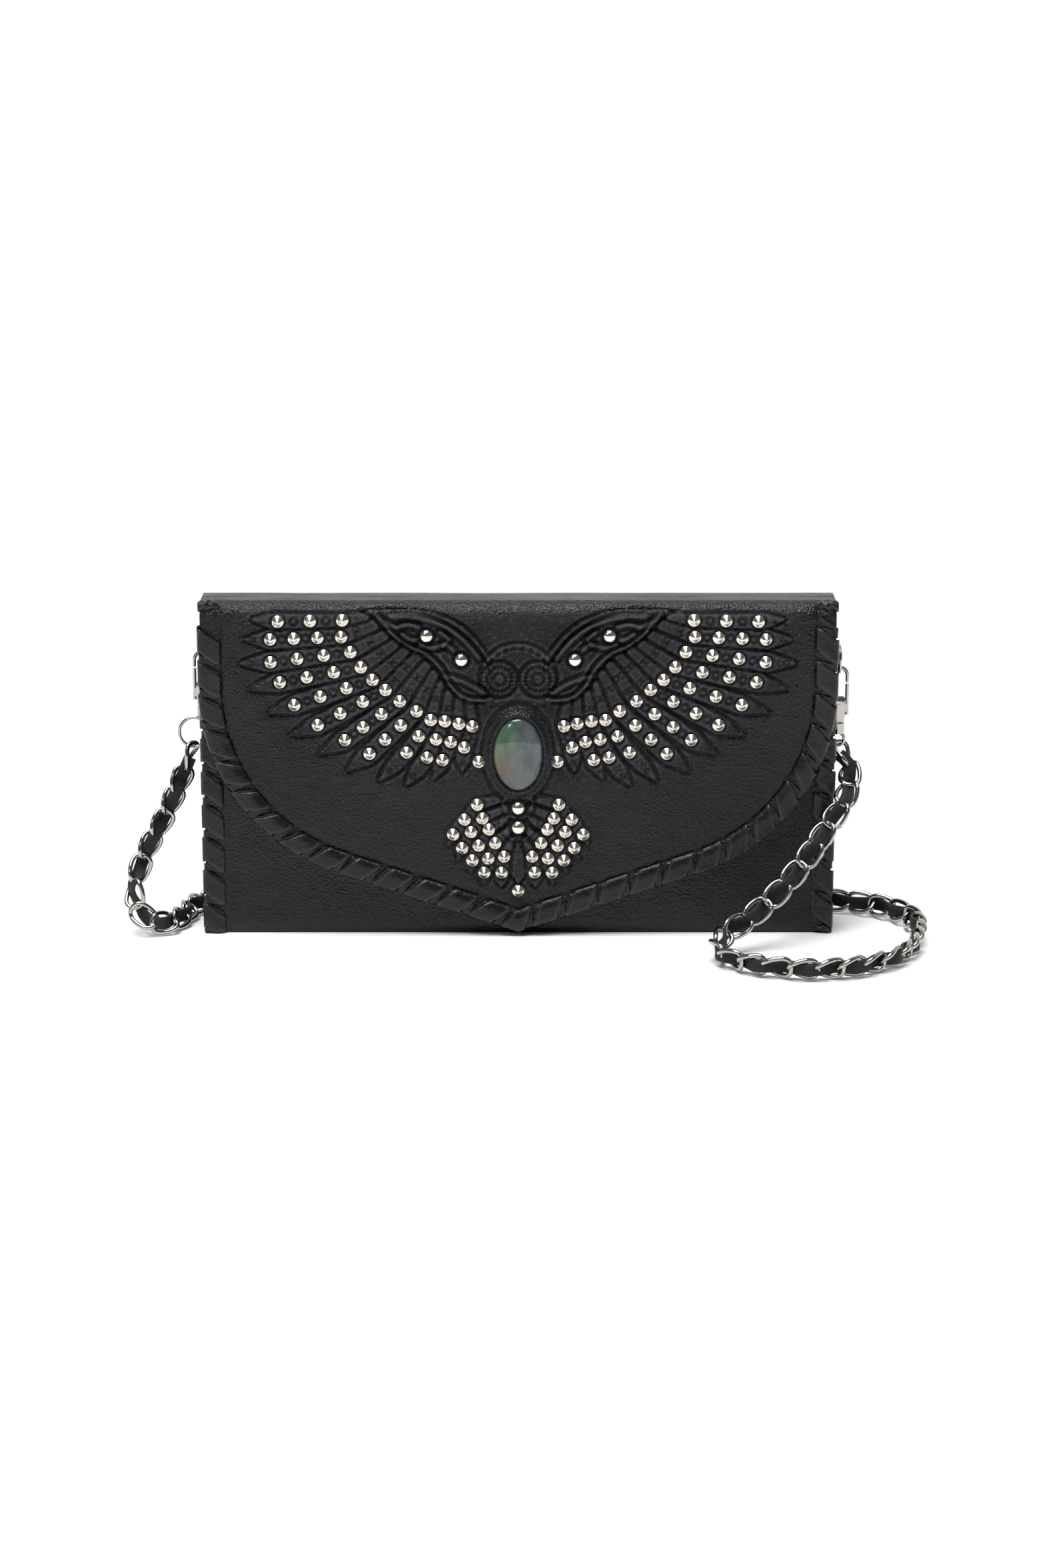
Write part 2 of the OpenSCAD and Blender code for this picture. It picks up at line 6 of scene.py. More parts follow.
import bmesh
import bpy
import numpy as np
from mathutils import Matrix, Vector


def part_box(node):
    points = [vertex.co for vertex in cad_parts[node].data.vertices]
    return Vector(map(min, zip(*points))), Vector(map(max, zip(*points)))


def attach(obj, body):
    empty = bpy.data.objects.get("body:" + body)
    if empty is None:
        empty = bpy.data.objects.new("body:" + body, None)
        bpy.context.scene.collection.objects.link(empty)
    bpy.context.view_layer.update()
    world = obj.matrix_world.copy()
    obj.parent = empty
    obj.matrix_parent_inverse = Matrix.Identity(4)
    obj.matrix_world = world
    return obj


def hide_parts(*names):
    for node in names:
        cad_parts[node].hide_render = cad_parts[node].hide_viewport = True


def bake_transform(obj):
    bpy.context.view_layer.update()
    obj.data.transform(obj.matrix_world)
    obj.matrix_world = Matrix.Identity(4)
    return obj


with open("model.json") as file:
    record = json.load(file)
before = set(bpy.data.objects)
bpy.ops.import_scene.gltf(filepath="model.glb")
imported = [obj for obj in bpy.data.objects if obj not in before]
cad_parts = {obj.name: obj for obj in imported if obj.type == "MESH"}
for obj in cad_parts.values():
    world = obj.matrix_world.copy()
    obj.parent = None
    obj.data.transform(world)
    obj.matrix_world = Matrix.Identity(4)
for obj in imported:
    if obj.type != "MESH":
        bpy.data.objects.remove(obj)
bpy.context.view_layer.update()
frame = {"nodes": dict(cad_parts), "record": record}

MM = 0.001


def node_box(name):
    """Lowest and highest corner of a CAD node, in millimetres."""
    low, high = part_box(name)
    return np.array(low) / MM, np.array(high) / MM


def put_in_scene(name, data):
    """New object that shows a mesh, a lamp or a camera."""
    thing = bpy.data.objects.new(name, data)
    bpy.context.collection.objects.link(thing)
    return thing


def settle(piece, body, slot, *stands_for):
    """Ride on a body and stand for CAD nodes; the slot argument is not used."""
    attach(piece, body)
    if stands_for:
        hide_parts(*stands_for)


# ---- camera and light ----

LENS = 85.0
SENSOR = 36.0
FRAME_PIXELS = 2352
PIXELS_PER_MM = 3.84
ELEVATION = math.radians(14.0)
AIM_X = 1.7
AIM_SHARE = 0.462       # of the wallet's height


def add_camera():
    """Front view from slightly above, centred a little right of the wallet."""
    plate_low = node_box("flap_plate")[0]
    aim = Vector((AIM_X, plate_low[1], AIM_SHARE * node_box("flap_top")[1][2])) * MM
    distance = LENS / SENSOR * FRAME_PIXELS / PIXELS_PER_MM * MM
    data = bpy.data.cameras.new("camera")
    data.lens = LENS
    data.sensor_width = SENSOR
    data.clip_end = 100
    camera = put_in_scene("camera", data)
    away = Vector((0, -math.cos(ELEVATION), math.sin(ELEVATION)))
    camera.location = aim + distance * away
    camera.rotation_euler = (-away).to_track_quat("-Z", "Y").to_euler()
    bpy.context.scene.camera = camera
    bpy.context.scene.view_settings.view_transform = "Standard"


def add_lamp(name, kind, power):
    lamp = put_in_scene(name, bpy.data.lights.new(name, kind))
    lamp.data.energy = power
    return lamp


def add_light():
    """Soft light from almost straight above in a dim surround; the pale floor fills from below."""
    sun = add_lamp("overhead", "SUN", 4.2)
    sun.data.angle = math.radians(40)
    sun.rotation_euler = (math.radians(14), math.radians(-7), 0)
    box = add_lamp("left_box", "AREA", 5)
    box.data.shape = "RECTANGLE"
    box.data.size, box.data.size_y = 0.35, 0.35
    box.location = (-1.2, -1.6, 1.5)
    box.rotation_euler = (Vector((0, 0, 0.07)) - box.location).to_track_quat("-Z", "Y").to_euler()
    world = bpy.data.worlds.new("studio")
    bpy.context.scene.world = world
    world.use_nodes = True
    tree = world.node_tree
    direction = tree.nodes.new("ShaderNodeTexCoord")
    split = tree.nodes.new("ShaderNodeSeparateXYZ")
    shade = tree.nodes.new("ShaderNodeMapRange")
    tree.links.new(direction.outputs["Generated"], split.inputs[0])
    tree.links.new(split.outputs["Y"], shade.inputs["Value"])
    for socket, value in (("From Min", -0.2), ("From Max", 0.9), ("To Min", 0.14), ("To Max", 1.1)):
        shade.inputs[socket].default_value = value
    tree.nodes["Background"].inputs["Color"].default_value = (1, 1, 1, 1)
    tree.links.new(shade.outputs["Result"], tree.nodes["Background"].inputs["Strength"])


def add_floor():
    """Pale floor, 40 m square."""
    mesh = bpy.data.meshes.new("floor")
    corners = [(-20, -20, 0), (20, -20, 0), (20, 20, 0), (-20, 20, 0)]
    mesh.from_pydata(corners, [], [(0, 1, 2, 3)])
    floor = put_in_scene("floor", mesh)
    material = bpy.data.materials.new("floor_white")
    material.use_nodes = True
    shader = material.node_tree.nodes["Principled BSDF"]
    shader.inputs["Base Color"].default_value = (0.9, 0.9, 0.9, 1)
    shader.inputs["Roughness"].default_value = 0.6
    mesh.materials.append(material)


# ---- materials ----

class Nodes:
    """Short way to write a node material."""

    def __init__(self, name):
        self.material = bpy.data.materials.new(name)
        self.material.use_nodes = True
        self.tree = self.material.node_tree
        self.shader = self.tree.nodes["Principled BSDF"]
        self.place = self.tree.nodes.new("ShaderNodeTexCoord").outputs["Object"]

    def fill(self, socket, value):
        """Link an input to another node's output, or set it to a plain value."""
        if isinstance(value, bpy.types.NodeSocket):
            self.tree.links.new(value, socket)
        else:
            socket.default_value = value

    def fill_all(self, node, values):
        for name, value in values.items():
            self.fill(node.inputs[name.replace("_", " ")], value)

    def finish(self, **values):
        self.fill_all(self.shader, values)
        return self.material

    def make(self, kind, **values):
        node = self.tree.nodes.new("ShaderNode" + kind)
        self.fill_all(node, values)
        return node

    def noise(self, scale, detail=4.0, roughness=0.5, vector=None):
        place = vector or self.place
        node = self.make("TexNoise", Scale=scale, Detail=detail, Roughness=roughness, Vector=place)
        return node.outputs["Fac"]

    def cells(self, scale, feature="F1"):
        node = self.make("TexVoronoi", Scale=scale, Vector=self.place)
        node.feature = feature
        return node.outputs["Distance"]

    def stretch(self, factors):
        return self.make("Mapping", Scale=factors, Vector=self.place).outputs["Vector"]

    def axes(self):
        return self.make("SeparateXYZ", Vector=self.place).outputs

    def ramp(self, value, stops):
        node = self.make("ValToRGB", Fac=value)
        ramp = node.color_ramp
        while len(ramp.elements) < len(stops):
            ramp.elements.new(0.5)
        for element, (position, colour) in zip(ramp.elements, stops):
            element.position = position
            element.color = (*colour, 1)
        return node.outputs["Color"]

    def scale_range(self, value, low, high, from_low=0.0, from_high=1.0):
        limits = dict(From_Min=from_low, From_Max=from_high, To_Min=low, To_Max=high)
        return self.make("MapRange", Value=value, **limits).outputs["Result"]

    def maths(self, operation, a, b=0.0):
        node = self.make("Math")
        node.operation = operation
        self.fill(node.inputs[0], a)
        self.fill(node.inputs[1], b)
        return node.outputs["Value"]

    def times(self, *factors):
        product = factors[0]
        for factor in factors[1:]:
            product = self.maths("MULTIPLY", product, factor)
        return product

    def mix(self, factor, a, b):
        node = self.make("Mix")
        node.data_type = "RGBA"
        for place, value in ((0, factor), (6, a), (7, b)):
            self.fill(node.inputs[place], (*value, 1) if isinstance(value, tuple) else value)
        return node.outputs[2]

    def bump(self, height, distance, strength=1.0, under=None):
        node = self.make("Bump", Strength=strength, Distance=distance, Height=height)
        if under is not None:
            self.fill(node.inputs["Normal"], under)
        return node.outputs["Normal"]

    def edges(self, low, high):
        return self.scale_range(self.make("NewGeometry").outputs["Pointiness"], 0.0, 1.0, low, high)


def worked_area(n):
    """One inside the carved wings, head and tail, zero on the plain leather around them."""
    across = n.maths("ABSOLUTE", n.axes()["X"])
    height = n.axes()["Z"]
    climb = n.times(n.maths("MAXIMUM", n.maths("SUBTRACT", across, 0.052), 0.0), 0.9)
    wing = n.times(n.scale_range(n.maths("SUBTRACT", height, climb), 0.0, 1.0, 0.055, 0.064),
                   n.scale_range(across, 1.0, 0.0, 0.103, 0.111),
                   n.scale_range(height, 1.0, 0.0, 0.126, 0.132))
    below = n.maths("ABSOLUTE", n.maths("SUBTRACT", height, 0.04))
    tail = n.scale_range(n.maths("ADD", across, below), 1.0, 0.0, 0.024, 0.034)
    return n.maths("MAXIMUM", wing, tail)


def leather(name, dark, light, rough, grain=1100.0, depth=0.00016, edge_wear_and_highlight=0.5, spec=0.18, worked=False):
    """Leather with cell grain, fine pores, cloudy colour and paler convex edges that are partly rubbed wear
    and partly painted highlight; crumpled, with painted glints, where worked.
    """
    n = Nodes(name)
    cloud = n.noise(55.0, 5.0, 0.6)
    pores = n.noise(grain * 1.9, 3.0, 0.6)
    swell = n.bump(n.noise(18.0, 2.0, 0.5), 0.009, 0.5)
    coarse = n.bump(n.noise(150.0, 5.0, 0.65), 0.0009, 0.8, swell)
    if worked:
        area = worked_area(n)
        # Painted glints: pale noise speckles over the worked area, in place of gloss highlights on crumpled
        # leather.
        painted_glints = n.scale_range(n.noise(520.0, 4.0, 0.75), 0.0, 0.8, 0.56, 0.68)
        # Convex edges painted paler: partly rubbed wear, partly a painted highlight in place of gloss on the
        # carved ridges.
        wear_and_highlight = n.times(n.maths("MAXIMUM", n.times(n.edges(0.506, 0.55), edge_wear_and_highlight), painted_glints), area)
        coarse = n.bump(n.times(n.noise(620.0, 5.0, 0.72), n.noise(95.0, 2.0), area), 0.0022, 1.0, coarse)
    else:
        # Convex edges painted paler: partly rubbed wear, partly a painted highlight.
        wear_and_highlight = n.times(n.edges(0.502, 0.56), edge_wear_and_highlight)
    # Colour of the paler edges and glints: rubbed wear and painted highlight.
    wear_and_highlight_colour = tuple(3.4 * c + (0.045 if worked else 0.012) for c in light)
    colour = n.mix(wear_and_highlight, n.ramp(cloud, [(0.3, dark), (0.72, light)]), wear_and_highlight_colour)
    gloss = n.scale_range(n.maths("ADD", cloud, pores), *rough, 0.6, 1.4)
    fine = n.bump(n.cells(grain), depth, 0.9, coarse)
    return n.finish(Base_Color=colour, Roughness=gloss, Normal=n.bump(pores, depth * 0.5, 0.6, fine),
                    Specular_IOR_Level=spec)


def nickel(name, tint, rough):
    """Bright plated metal with faint hairlines and cloudy roughness."""
    n = Nodes(name)
    darker = tuple(0.9 * c for c in tint)
    colour = n.ramp(n.noise(260.0), [(0.25, darker), (0.8, tint)])
    gloss = n.scale_range(n.noise(900.0, 6.0, 0.7), *rough, 0.3, 0.75)
    hair = n.noise(900.0, 3.0, 0.6, n.stretch((1.0, 1.0, 9.0)))
    return n.finish(Base_Color=colour, Roughness=gloss, Normal=n.bump(hair, 0.00001, 0.5), Metallic=1.0)


def suede(name, dark, light):
    """Napped lining."""
    n = Nodes(name)
    colour = n.ramp(n.noise(300.0, 6.0, 0.7), [(0.3, dark), (0.75, light)])
    nap = n.bump(n.noise(2600.0, 4.0, 0.7), 0.0001, 0.8)
    return n.finish(Base_Color=colour, Roughness=0.95, Normal=nap, Sheen_Weight=0.12, Sheen_Roughness=0.6,
                    Specular_IOR_Level=0.15)


def stone_material(name):
    """Dark feldspar: layered grey-green body, green flash, brown patch and fine cracks under a polish."""
    n = Nodes(name)
    layers = n.noise(120.0, 5.0, 0.55, n.stretch((1.0, 0.6, 0.45)))
    body = n.ramp(layers, [(0.25, (0.012, 0.02, 0.024)), (0.45, (0.035, 0.048, 0.054)),
                           (0.6, (0.085, 0.098, 0.1)), (0.8, (0.02, 0.036, 0.048))])
    flash = n.ramp(n.noise(85.0, 2.0, 0.4, n.stretch((1.0, 1.0, 0.35))),
                   [(0.3, (0.02, 0.075, 0.07)), (0.5, (0.1, 0.21, 0.09)), (0.7, (0.26, 0.32, 0.18))])
    drift = n.times(n.noise(210.0, 4.0, 0.6), 0.012)
    across = n.maths("ADD", n.axes()["X"], drift)
    height = n.maths("ADD", n.axes()["Z"], drift)
    left = n.scale_range(across, 1.0, 0.0, -0.003, 0.009)
    upper = n.scale_range(height, 0.0, 1.0, 0.074, 0.089)
    lower = n.scale_range(height, 1.0, 0.0, 0.071, 0.084)
    green = n.times(left, upper, n.scale_range(layers, 0.35, 1.0, 0.3, 0.6))
    brown = n.times(left, lower, n.scale_range(n.noise(160.0), 0.0, 1.0, 0.35, 0.6))
    colour = n.mix(brown, n.mix(green, body, flash), (0.12, 0.075, 0.018))
    cracks = n.times(n.scale_range(n.cells(170.0, "DISTANCE_TO_EDGE"), 1.0, 0.0, 0.0, 0.03), 0.3)
    return n.finish(Base_Color=n.mix(cracks, colour, (0.012, 0.012, 0.01)),
                    Roughness=n.scale_range(layers, 0.1, 0.22),
                    Normal=n.bump(n.noise(60.0), 0.0003, 0.25),
                    Coat_Weight=0.6, Coat_Roughness=0.05, IOR=1.5, Specular_IOR_Level=0.4)


# ---- mesh helpers ----

def make_object(name, points, faces, material):
    """Points in millimetres, faces as index lists."""
    mesh = bpy.data.meshes.new(name)
    mesh.from_pydata((np.asarray(points, float).reshape(-1, 3) * MM).tolist(), [], faces)
    mesh.validate()
    mesh.update()
    edit = bmesh.new()
    edit.from_mesh(mesh)
    bmesh.ops.recalc_face_normals(edit, faces=edit.faces)
    edit.to_mesh(mesh)
    edit.free()
    mesh.materials.append(material)
    mesh.polygons.foreach_set("use_smooth", [True] * len(mesh.polygons))
    return put_in_scene(name, mesh)


def grid_faces(rows, columns, start=0, wrap=False, closed=False):
    """Faces between rows of points; wrap joins each row's ends, closed joins the last row to the first."""
    faces = []
    for r in range(rows if closed else rows - 1):
        above = (r + 1) % rows
        for c in range(columns if wrap else columns - 1):
            d = (c + 1) % columns
            corners = ((r, c), (r, d), (above, d), (above, c))
            faces.append(tuple(start + row * columns + i for row, i in corners))
    return faces


def tube_faces(count, rings, start=0):
    """Faces of a closed-section tube with both ends capped."""
    last = start + (rings - 1) * count
    return grid_faces(rings, count, start, True) + [tuple(range(start, start + count)),
                                                    tuple(range(last, last + count))[::-1]]


def thick_sheet(name, outer, inner, step, material):
    """Closed sheet: fine outer grid, coarse inner grid of every step-th point, flat rim faces between."""
    rows, columns = outer.shape[:2]
    coarse = inner[::step, ::step]
    coarse_rows, coarse_columns = coarse.shape[:2]
    points = np.concatenate([outer.reshape(-1, 3), coarse.reshape(-1, 3)])
    offset = rows * columns
    faces = grid_faces(rows, columns)
    faces += [face[::-1] for face in grid_faces(coarse_rows, coarse_columns, offset)]
    rim_start = len(faces)

    def coarse_index(i):
        r, c = divmod(i, columns)
        return offset + (r // step) * coarse_columns + c // step

    index = np.arange(offset).reshape(rows, columns)
    for side in (index[0], index[:, -1], index[-1, ::-1], index[::-1, 0]):
        for i in range(0, len(side) - 1, step):
            run = side[i:i + step + 1].tolist()
            faces.append((*run, coarse_index(run[-1]), coarse_index(run[0])))
    sheet = make_object(name, points, faces, material)
    for k in range(rim_start, len(faces)):
        sheet.data.polygons[k].use_smooth = False
    return sheet


def segment_distance(x, z, a, b):
    """Distance from each point to the segment ab, and the nearest point's place on it, from 0 to 1."""
    ax, az = a
    dx, dz = b[0] - ax, b[1] - az
    t = np.clip(((x - ax) * dx + (z - az) * dz) / (dx * dx + dz * dz), 0, 1)
    return np.hypot(x - ax - t * dx, z - az - t * dz), t


def line_distance(x, z, points):
    """Distance to a polyline and the length travelled along it at the nearest point."""
    best = np.full(x.shape, 1e9)
    along = np.zeros(x.shape)
    travelled = 0.0
    for a, b in zip(points[:-1], points[1:]):
        length = math.hypot(b[0] - a[0], b[1] - a[1])
        d, t = segment_distance(x, z, a, b)
        nearer = d < best
        best = np.where(nearer, d, best)
        along = np.where(nearer, travelled + t * length, along)
        travelled += length
    return best, along


def catmull(points, per_span):
    """Smooth curve through the points."""
    p = np.asarray(points, float)
    out = []
    for i in range(len(p) - 1):
        a, b, c, d = p[max(i - 1, 0)], p[i], p[i + 1], p[min(i + 2, len(p) - 1)]
        for k in range(per_span):
            t = k / per_span
            out.append(0.5 * (2 * b + (c - a) * t + (2 * a - 5 * b + 4 * c - d) * t * t
                              + (3 * b - a - 3 * c + d) * t ** 3))
    out.append(p[-1])
    return np.array(out)


def unit(rows):
    """Each row divided by its length."""
    return rows / np.linalg.norm(rows, axis=1)[:, None]


def circle(count):
    """Angles of count points around a circle."""
    return np.arange(count) * 2 * math.pi / count


def even(points, gap):
    """The same curve with points gap apart, and its length."""
    steps = np.linalg.norm(np.diff(points, axis=0), axis=1)
    at = np.concatenate([[0], np.cumsum(steps)])
    count = max(2, int(round(at[-1] / gap)) + 1)
    want = np.linspace(0, at[-1], count)
    return np.column_stack([np.interp(want, at, points[:, k]) for k in range(points.shape[1])]), at[-1]


# ---- chain strap ----

LEFT_ROUTE = [(-129, 3, 70), (-134, 2, 58), (-140, -1, 45), (-147, -4, 32), (-151, -8, 20),
              (-150, -12, 10.5), (-143, -13, 5.8), (-136, -7, 5), (-132.5, 5, 5), (-129.5, 16, 5),
              (-122, 25, 5)]
BEHIND_ROUTE = [(-108, 28, 5), (-80, 27, 5), (-30, 26, 5), (20, 26, 5), (50, 27, 5), (70, 35, 5),
                (77, 53, 5), (70, 71, 5), (50, 79, 5), (20, 80, 5), (-20, 80, 5), (-50, 81, 5),
                (-70, 89, 5), (-77, 107, 5), (-70, 125, 5), (-50, 133, 5), (-20, 134, 5), (30, 134, 5),
                (60, 132, 5), (82, 122, 5), (92, 102, 5), (93, 70, 5), (95, 50, 5), (104, 32, 5),
                (122, 23, 5)]
RIGHT_ROUTE = [(137, 18, 5), (150, 8, 5), (157, -10, 5), (155, -34, 5), (147, -54, 5), (131, -69, 5),
               (112, -74, 5), (95, -70, 5), (82, -61, 5), (77, -50, 6), (81, -40, 9), (90, -35, 14),
               (101, -31.5, 23), (111, -27.5, 34), (120, -22, 46), (128, -15, 57), (130.2, -4, 65.5),
               (126.5, 2, 70)]
LINK_PITCH = 9.7
LINK_LONG = 13.2
LINK_WIDE = 9.8
LINK_WIRE = 0.95
LINK_HALF_LONG = LINK_LONG / 2 - LINK_WIRE
LINK_HALF_WIDE = LINK_WIDE / 2 - LINK_WIRE
LINK_TILT = 0.5         # of a link in the curb, about the strap's own line
LINK_TWIST = 1.2
LINK_RINGS = 26
LINK_SIDES = 8
FIRST_LINK = 0.8        # from the end of the route to the first link's middle
RIBBON_WIDE = 5.0
RIBBON_THICK = 1.3
RIBBON_WEAVE = 1.7      # how far it passes to either side of the links
RIBBON_END = 2.1
# One half of the ribbon's section, as shares of its half width and its thickness
RIBBON_SECTION = [(-1, -0.35), (-0.9, -0.5), (0, -0.42), (0.9, -0.5), (1, -0.35)]
# Where the two end links hang edge-on, in the jump ring and in the swivel's eye
HANG_POINTS = [(-127.8, 3, 74.75), (126.2, 3, 75.2)]
HANG_FACE = (0.1, -1.0, 0.15)
NEAR_FLOOR = 9
TURN_HEIGHT = 22        # over which the hanging strap turns on edge
RIGHT_TURN_START = 28


def strap_frames(path):
    """Direction, face normal and width direction at each point: on the floor the strap stands on edge."""
    tangent = unit(np.gradient(path, axis=0))
    face = unit(np.column_stack([tangent[:, 1], -tangent[:, 0], np.zeros(len(path))]))
    for i in range(1, len(face)):
        if face[i] @ face[i - 1] < 0:
            face[i] = -face[i]
    # Both hanging ends face the front; the strap turns on edge as it reaches the floor
    left_end = np.clip((path[:, 2] - NEAR_FLOOR) / TURN_HEIGHT, 0, 1) * (path[:, 0] < 0)
    right_end = np.clip((path[:, 2] - RIGHT_TURN_START) / TURN_HEIGHT, 0, 1) * (path[:, 0] > 0)
    hanging = left_end + right_end
    hanging = (hanging * hanging * (3 - 2 * hanging))[:, None]
    floor_start = int(np.argmax(path[:, 2] < NEAR_FLOOR))
    if face[floor_start, 1] > 0:
        face = -face
    face = (1 - hanging) * face + hanging * np.array(HANG_FACE)
    window = np.ones(9) / 9
    padded = np.pad(face, ((4, 4), (0, 0)), mode="edge")
    face = np.column_stack([np.convolve(padded[:, k], window, mode="valid") for k in range(3)])
    face = unit(face - np.sum(face * tangent, axis=1)[:, None] * tangent)
    return tangent, face, np.cross(tangent, face)


def link_points(middle, t, f, w, tilt):
    """One curb link, a rounded and twisted loop of wire, long along t and flat across f."""
    turned_w = math.cos(tilt) * w + math.sin(tilt) * f
    turned_f = math.cos(tilt) * f - math.sin(tilt) * w
    angles = np.linspace(0, 2 * math.pi, LINK_RINGS, endpoint=False)[:, None]
    long, across = [np.sign(g(angles)) * np.abs(g(angles)) ** 0.85 for g in (np.cos, np.sin)]
    shape = middle + LINK_HALF_LONG * long * t + LINK_HALF_WIDE * across * turned_w
    shape = shape + LINK_TWIST * np.sin(2 * angles) * turned_f
    along = unit(np.roll(shape, -1, axis=0) - np.roll(shape, 1, axis=0))
    side = unit(np.cross(along, turned_f))
    up = np.cross(side, along)
    ring = np.linspace(0, 2 * math.pi, LINK_SIDES, endpoint=False)
    return [shape[k] + LINK_WIRE * (math.cos(a) * side[k] + math.sin(a) * up[k])
            for k in range(LINK_RINGS) for a in ring]


def end_link(path, hang, beyond, lean):
    """Middle and directions of a link that hangs edge-on from a point towards a place on the strap."""
    t = path[beyond] - hang
    t /= np.linalg.norm(t)
    w = np.array([lean, 1.0, 0])
    w -= (w @ t) * t
    w /= np.linalg.norm(w)
    return hang + LINK_HALF_LONG * t, t, np.cross(w, t), w, 0.0


def add_strap(metal, ribbon_leather, clasps):
    """Curb chain with a ribbon woven through it, from the left clasp round the back to the right clasp."""
    path, length = even(catmull(LEFT_ROUTE + BEHIND_ROUTE + RIGHT_ROUTE, 24), 1.0)
    tangent, face, wide = strap_frames(path)
    count = int(length / LINK_PITCH)
    pitch = (length - 2 * FIRST_LINK) / (count - 1)
    links = [end_link(path, np.array(HANG_POINTS[0]), 10, 0.2)]
    for link in range(1, count - 1):
        i = int(round(FIRST_LINK + link * pitch))
        links.append((path[i], tangent[i], face[i], wide[i], LINK_TILT))
    links.append(end_link(path, np.array(HANG_POINTS[1]), -11, 0.5))
    points, faces = [], []
    for link in links:
        faces += grid_faces(LINK_RINGS, LINK_SIDES, len(points), True, True)
        points += link_points(*link)
    chain = make_object("strap_chain", points, faces, metal)
    steps = np.arange(len(path))
    near_end = np.clip(1.3 - np.minimum(steps, steps[::-1]) / 9.0, 0, 1)
    weave = np.cos(steps / pitch * math.pi + 0.6) * RIBBON_WEAVE * (1 - near_end) + RIBBON_END * near_end
    centres = path + weave[:, None] * face
    section = RIBBON_SECTION + [(-u, -v) for u, v in RIBBON_SECTION]
    strip = [centres[k] + u * RIBBON_WIDE / 2 * wide[k] + v * RIBBON_THICK * face[k]
             for k in range(1, len(path) - 1) for u, v in section]
    ribbon = make_object("strap_ribbon", strip, tube_faces(len(section), len(path) - 2), ribbon_leather)
    settle(chain, "wallet", "strap_hardware", "chain_left", "chain_behind", "chain_right")
    settle(ribbon, "wallet", "strap_ribbon")


# ---- clasps ----

CLASP_PLACES = {"left": (-123.6, 3, 89.2), "right": (125.8, 3, 83)}
CLASP_SHIFT = -0.3
CLASP_HALF = 3.1
CLASP_THICK = 2.0
CLASP_H = 10.0
CLASP_FLOOR = 1.5
CLASP_SLOT = 1.3
CLASP_WALL = 0.7
SWIVEL_BORE_R = 0.97
HOOK_R = 3.4
HOOK_FOOT = (8.0, 12.0, 16.0)
HOOK_TOP = 18.7
HOOK_TIP = (17.2, 16.6)
HOOK_WIRE = 0.75


def tube(points, faces, route, radius, count=12):
    """Round wire along a route with rounded ends."""
    route = np.asarray(route, float)
    along = unit(np.gradient(route, axis=0))
    side = unit(np.cross(along, [0, 1.0, 0]))
    up = np.cross(side, along)
    last = len(route) - 1
    rings = [(0, -0.95, 0.3), (0, -0.7, 0.71)] + [(k, 0, 1) for k in range(last + 1)]
    rings += [(last, 0.7, 0.71), (last, 0.95, 0.3)]
    faces += tube_faces(count, len(rings), len(points))
    for k, reach, size in rings:
        for a in circle(count):
            around = math.cos(a) * side[k] + math.sin(a) * up[k]
            points.append(route[k] + radius * (reach * along[k] + size * around))


def clasp_section(z):
    """Channel section of the clasp's body: domed cheeks, closed on the wallet's side, open for the gate."""
    f = z / CLASP_H
    swell = 0.86 + 0.14 * math.sin(min(1.0, 1.6 * f) * math.pi / 2)
    half = CLASP_HALF * swell - 0.35 * max(0.0, f - 0.9) / 0.1
    thick = CLASP_THICK - 0.3 * max(0.0, f - 0.92) / 0.08
    outer = [(half - 0.15, -thick * 0.8), (half - 0.5, -thick * 0.93)]
    for a in np.linspace(-0.46 * math.pi, -1.54 * math.pi, 23)[1:-1]:
        outer.append((half * np.sign(math.cos(a)) * abs(math.cos(a)) ** 0.75,
                      thick * np.sign(math.sin(a)) * abs(math.sin(a)) ** 0.6))
    outer += [(half - 0.5, thick * 0.93), (half - 0.15, thick * 0.8)]
    wall = CLASP_WALL - half
    inner = [(half, CLASP_SLOT + 0.05), (wall, CLASP_SLOT), (wall, -CLASP_SLOT), (half, -CLASP_SLOT - 0.05)]
    return outer, outer + inner


def add_clasp(label):
    """Trigger clasp: cast body with a floor bored for the swivel, and the bent wire of the hook."""
    cx, cy, cz = CLASP_PLACES[label]
    outward = math.copysign(1.0, cx)
    points, faces = [], []
    levels = [CLASP_FLOOR, 3, 5, 7, 9, 9.6, CLASP_H]
    for z in levels:
        points += [(x + CLASP_SHIFT, y, z) for x, y in clasp_section(z)[1]]
    faces += tube_faces(len(points) // len(levels), len(levels))
    outline = clasp_section(CLASP_FLOOR)[0]
    faces += grid_faces(5, len(outline), len(points), True, True)
    for z, size in ((0.0, 0.9), (0.35, 1.0), (CLASP_FLOOR, 1.0)):
        points += [(size * x + CLASP_SHIFT, size * y, z) for x, y in outline]
    for z in (CLASP_FLOOR, 0.0):
        points += [(SWIVEL_BORE_R * x / math.hypot(x, y), SWIVEL_BORE_R * y / math.hypot(x, y), z)
                   for x, y in outline]
    route = [(-HOOK_R, 0, z) for z in HOOK_FOOT]
    for a in np.linspace(math.pi, 0, 17):
        route.append((HOOK_R * math.cos(a), 0, HOOK_TOP + HOOK_R * math.sin(a)))
    route += [(HOOK_R, 0, z) for z in HOOK_TIP]
    tube(points, faces, route, HOOK_WIRE)
    placed = [(cx + outward * x, cy + y, cz + z) for x, y, z in points]
    clasp = make_object("clasp_cast_" + label, placed, faces, NICKEL)
    crease = clasp.modifiers.new("edges", "EDGE_SPLIT")
    crease.split_angle = math.radians(50)
    settle(clasp, "clasp_" + label, "strap_hardware", "clasp_" + label)
    return clasp


# ---- flap: outline, tooling and skin ----

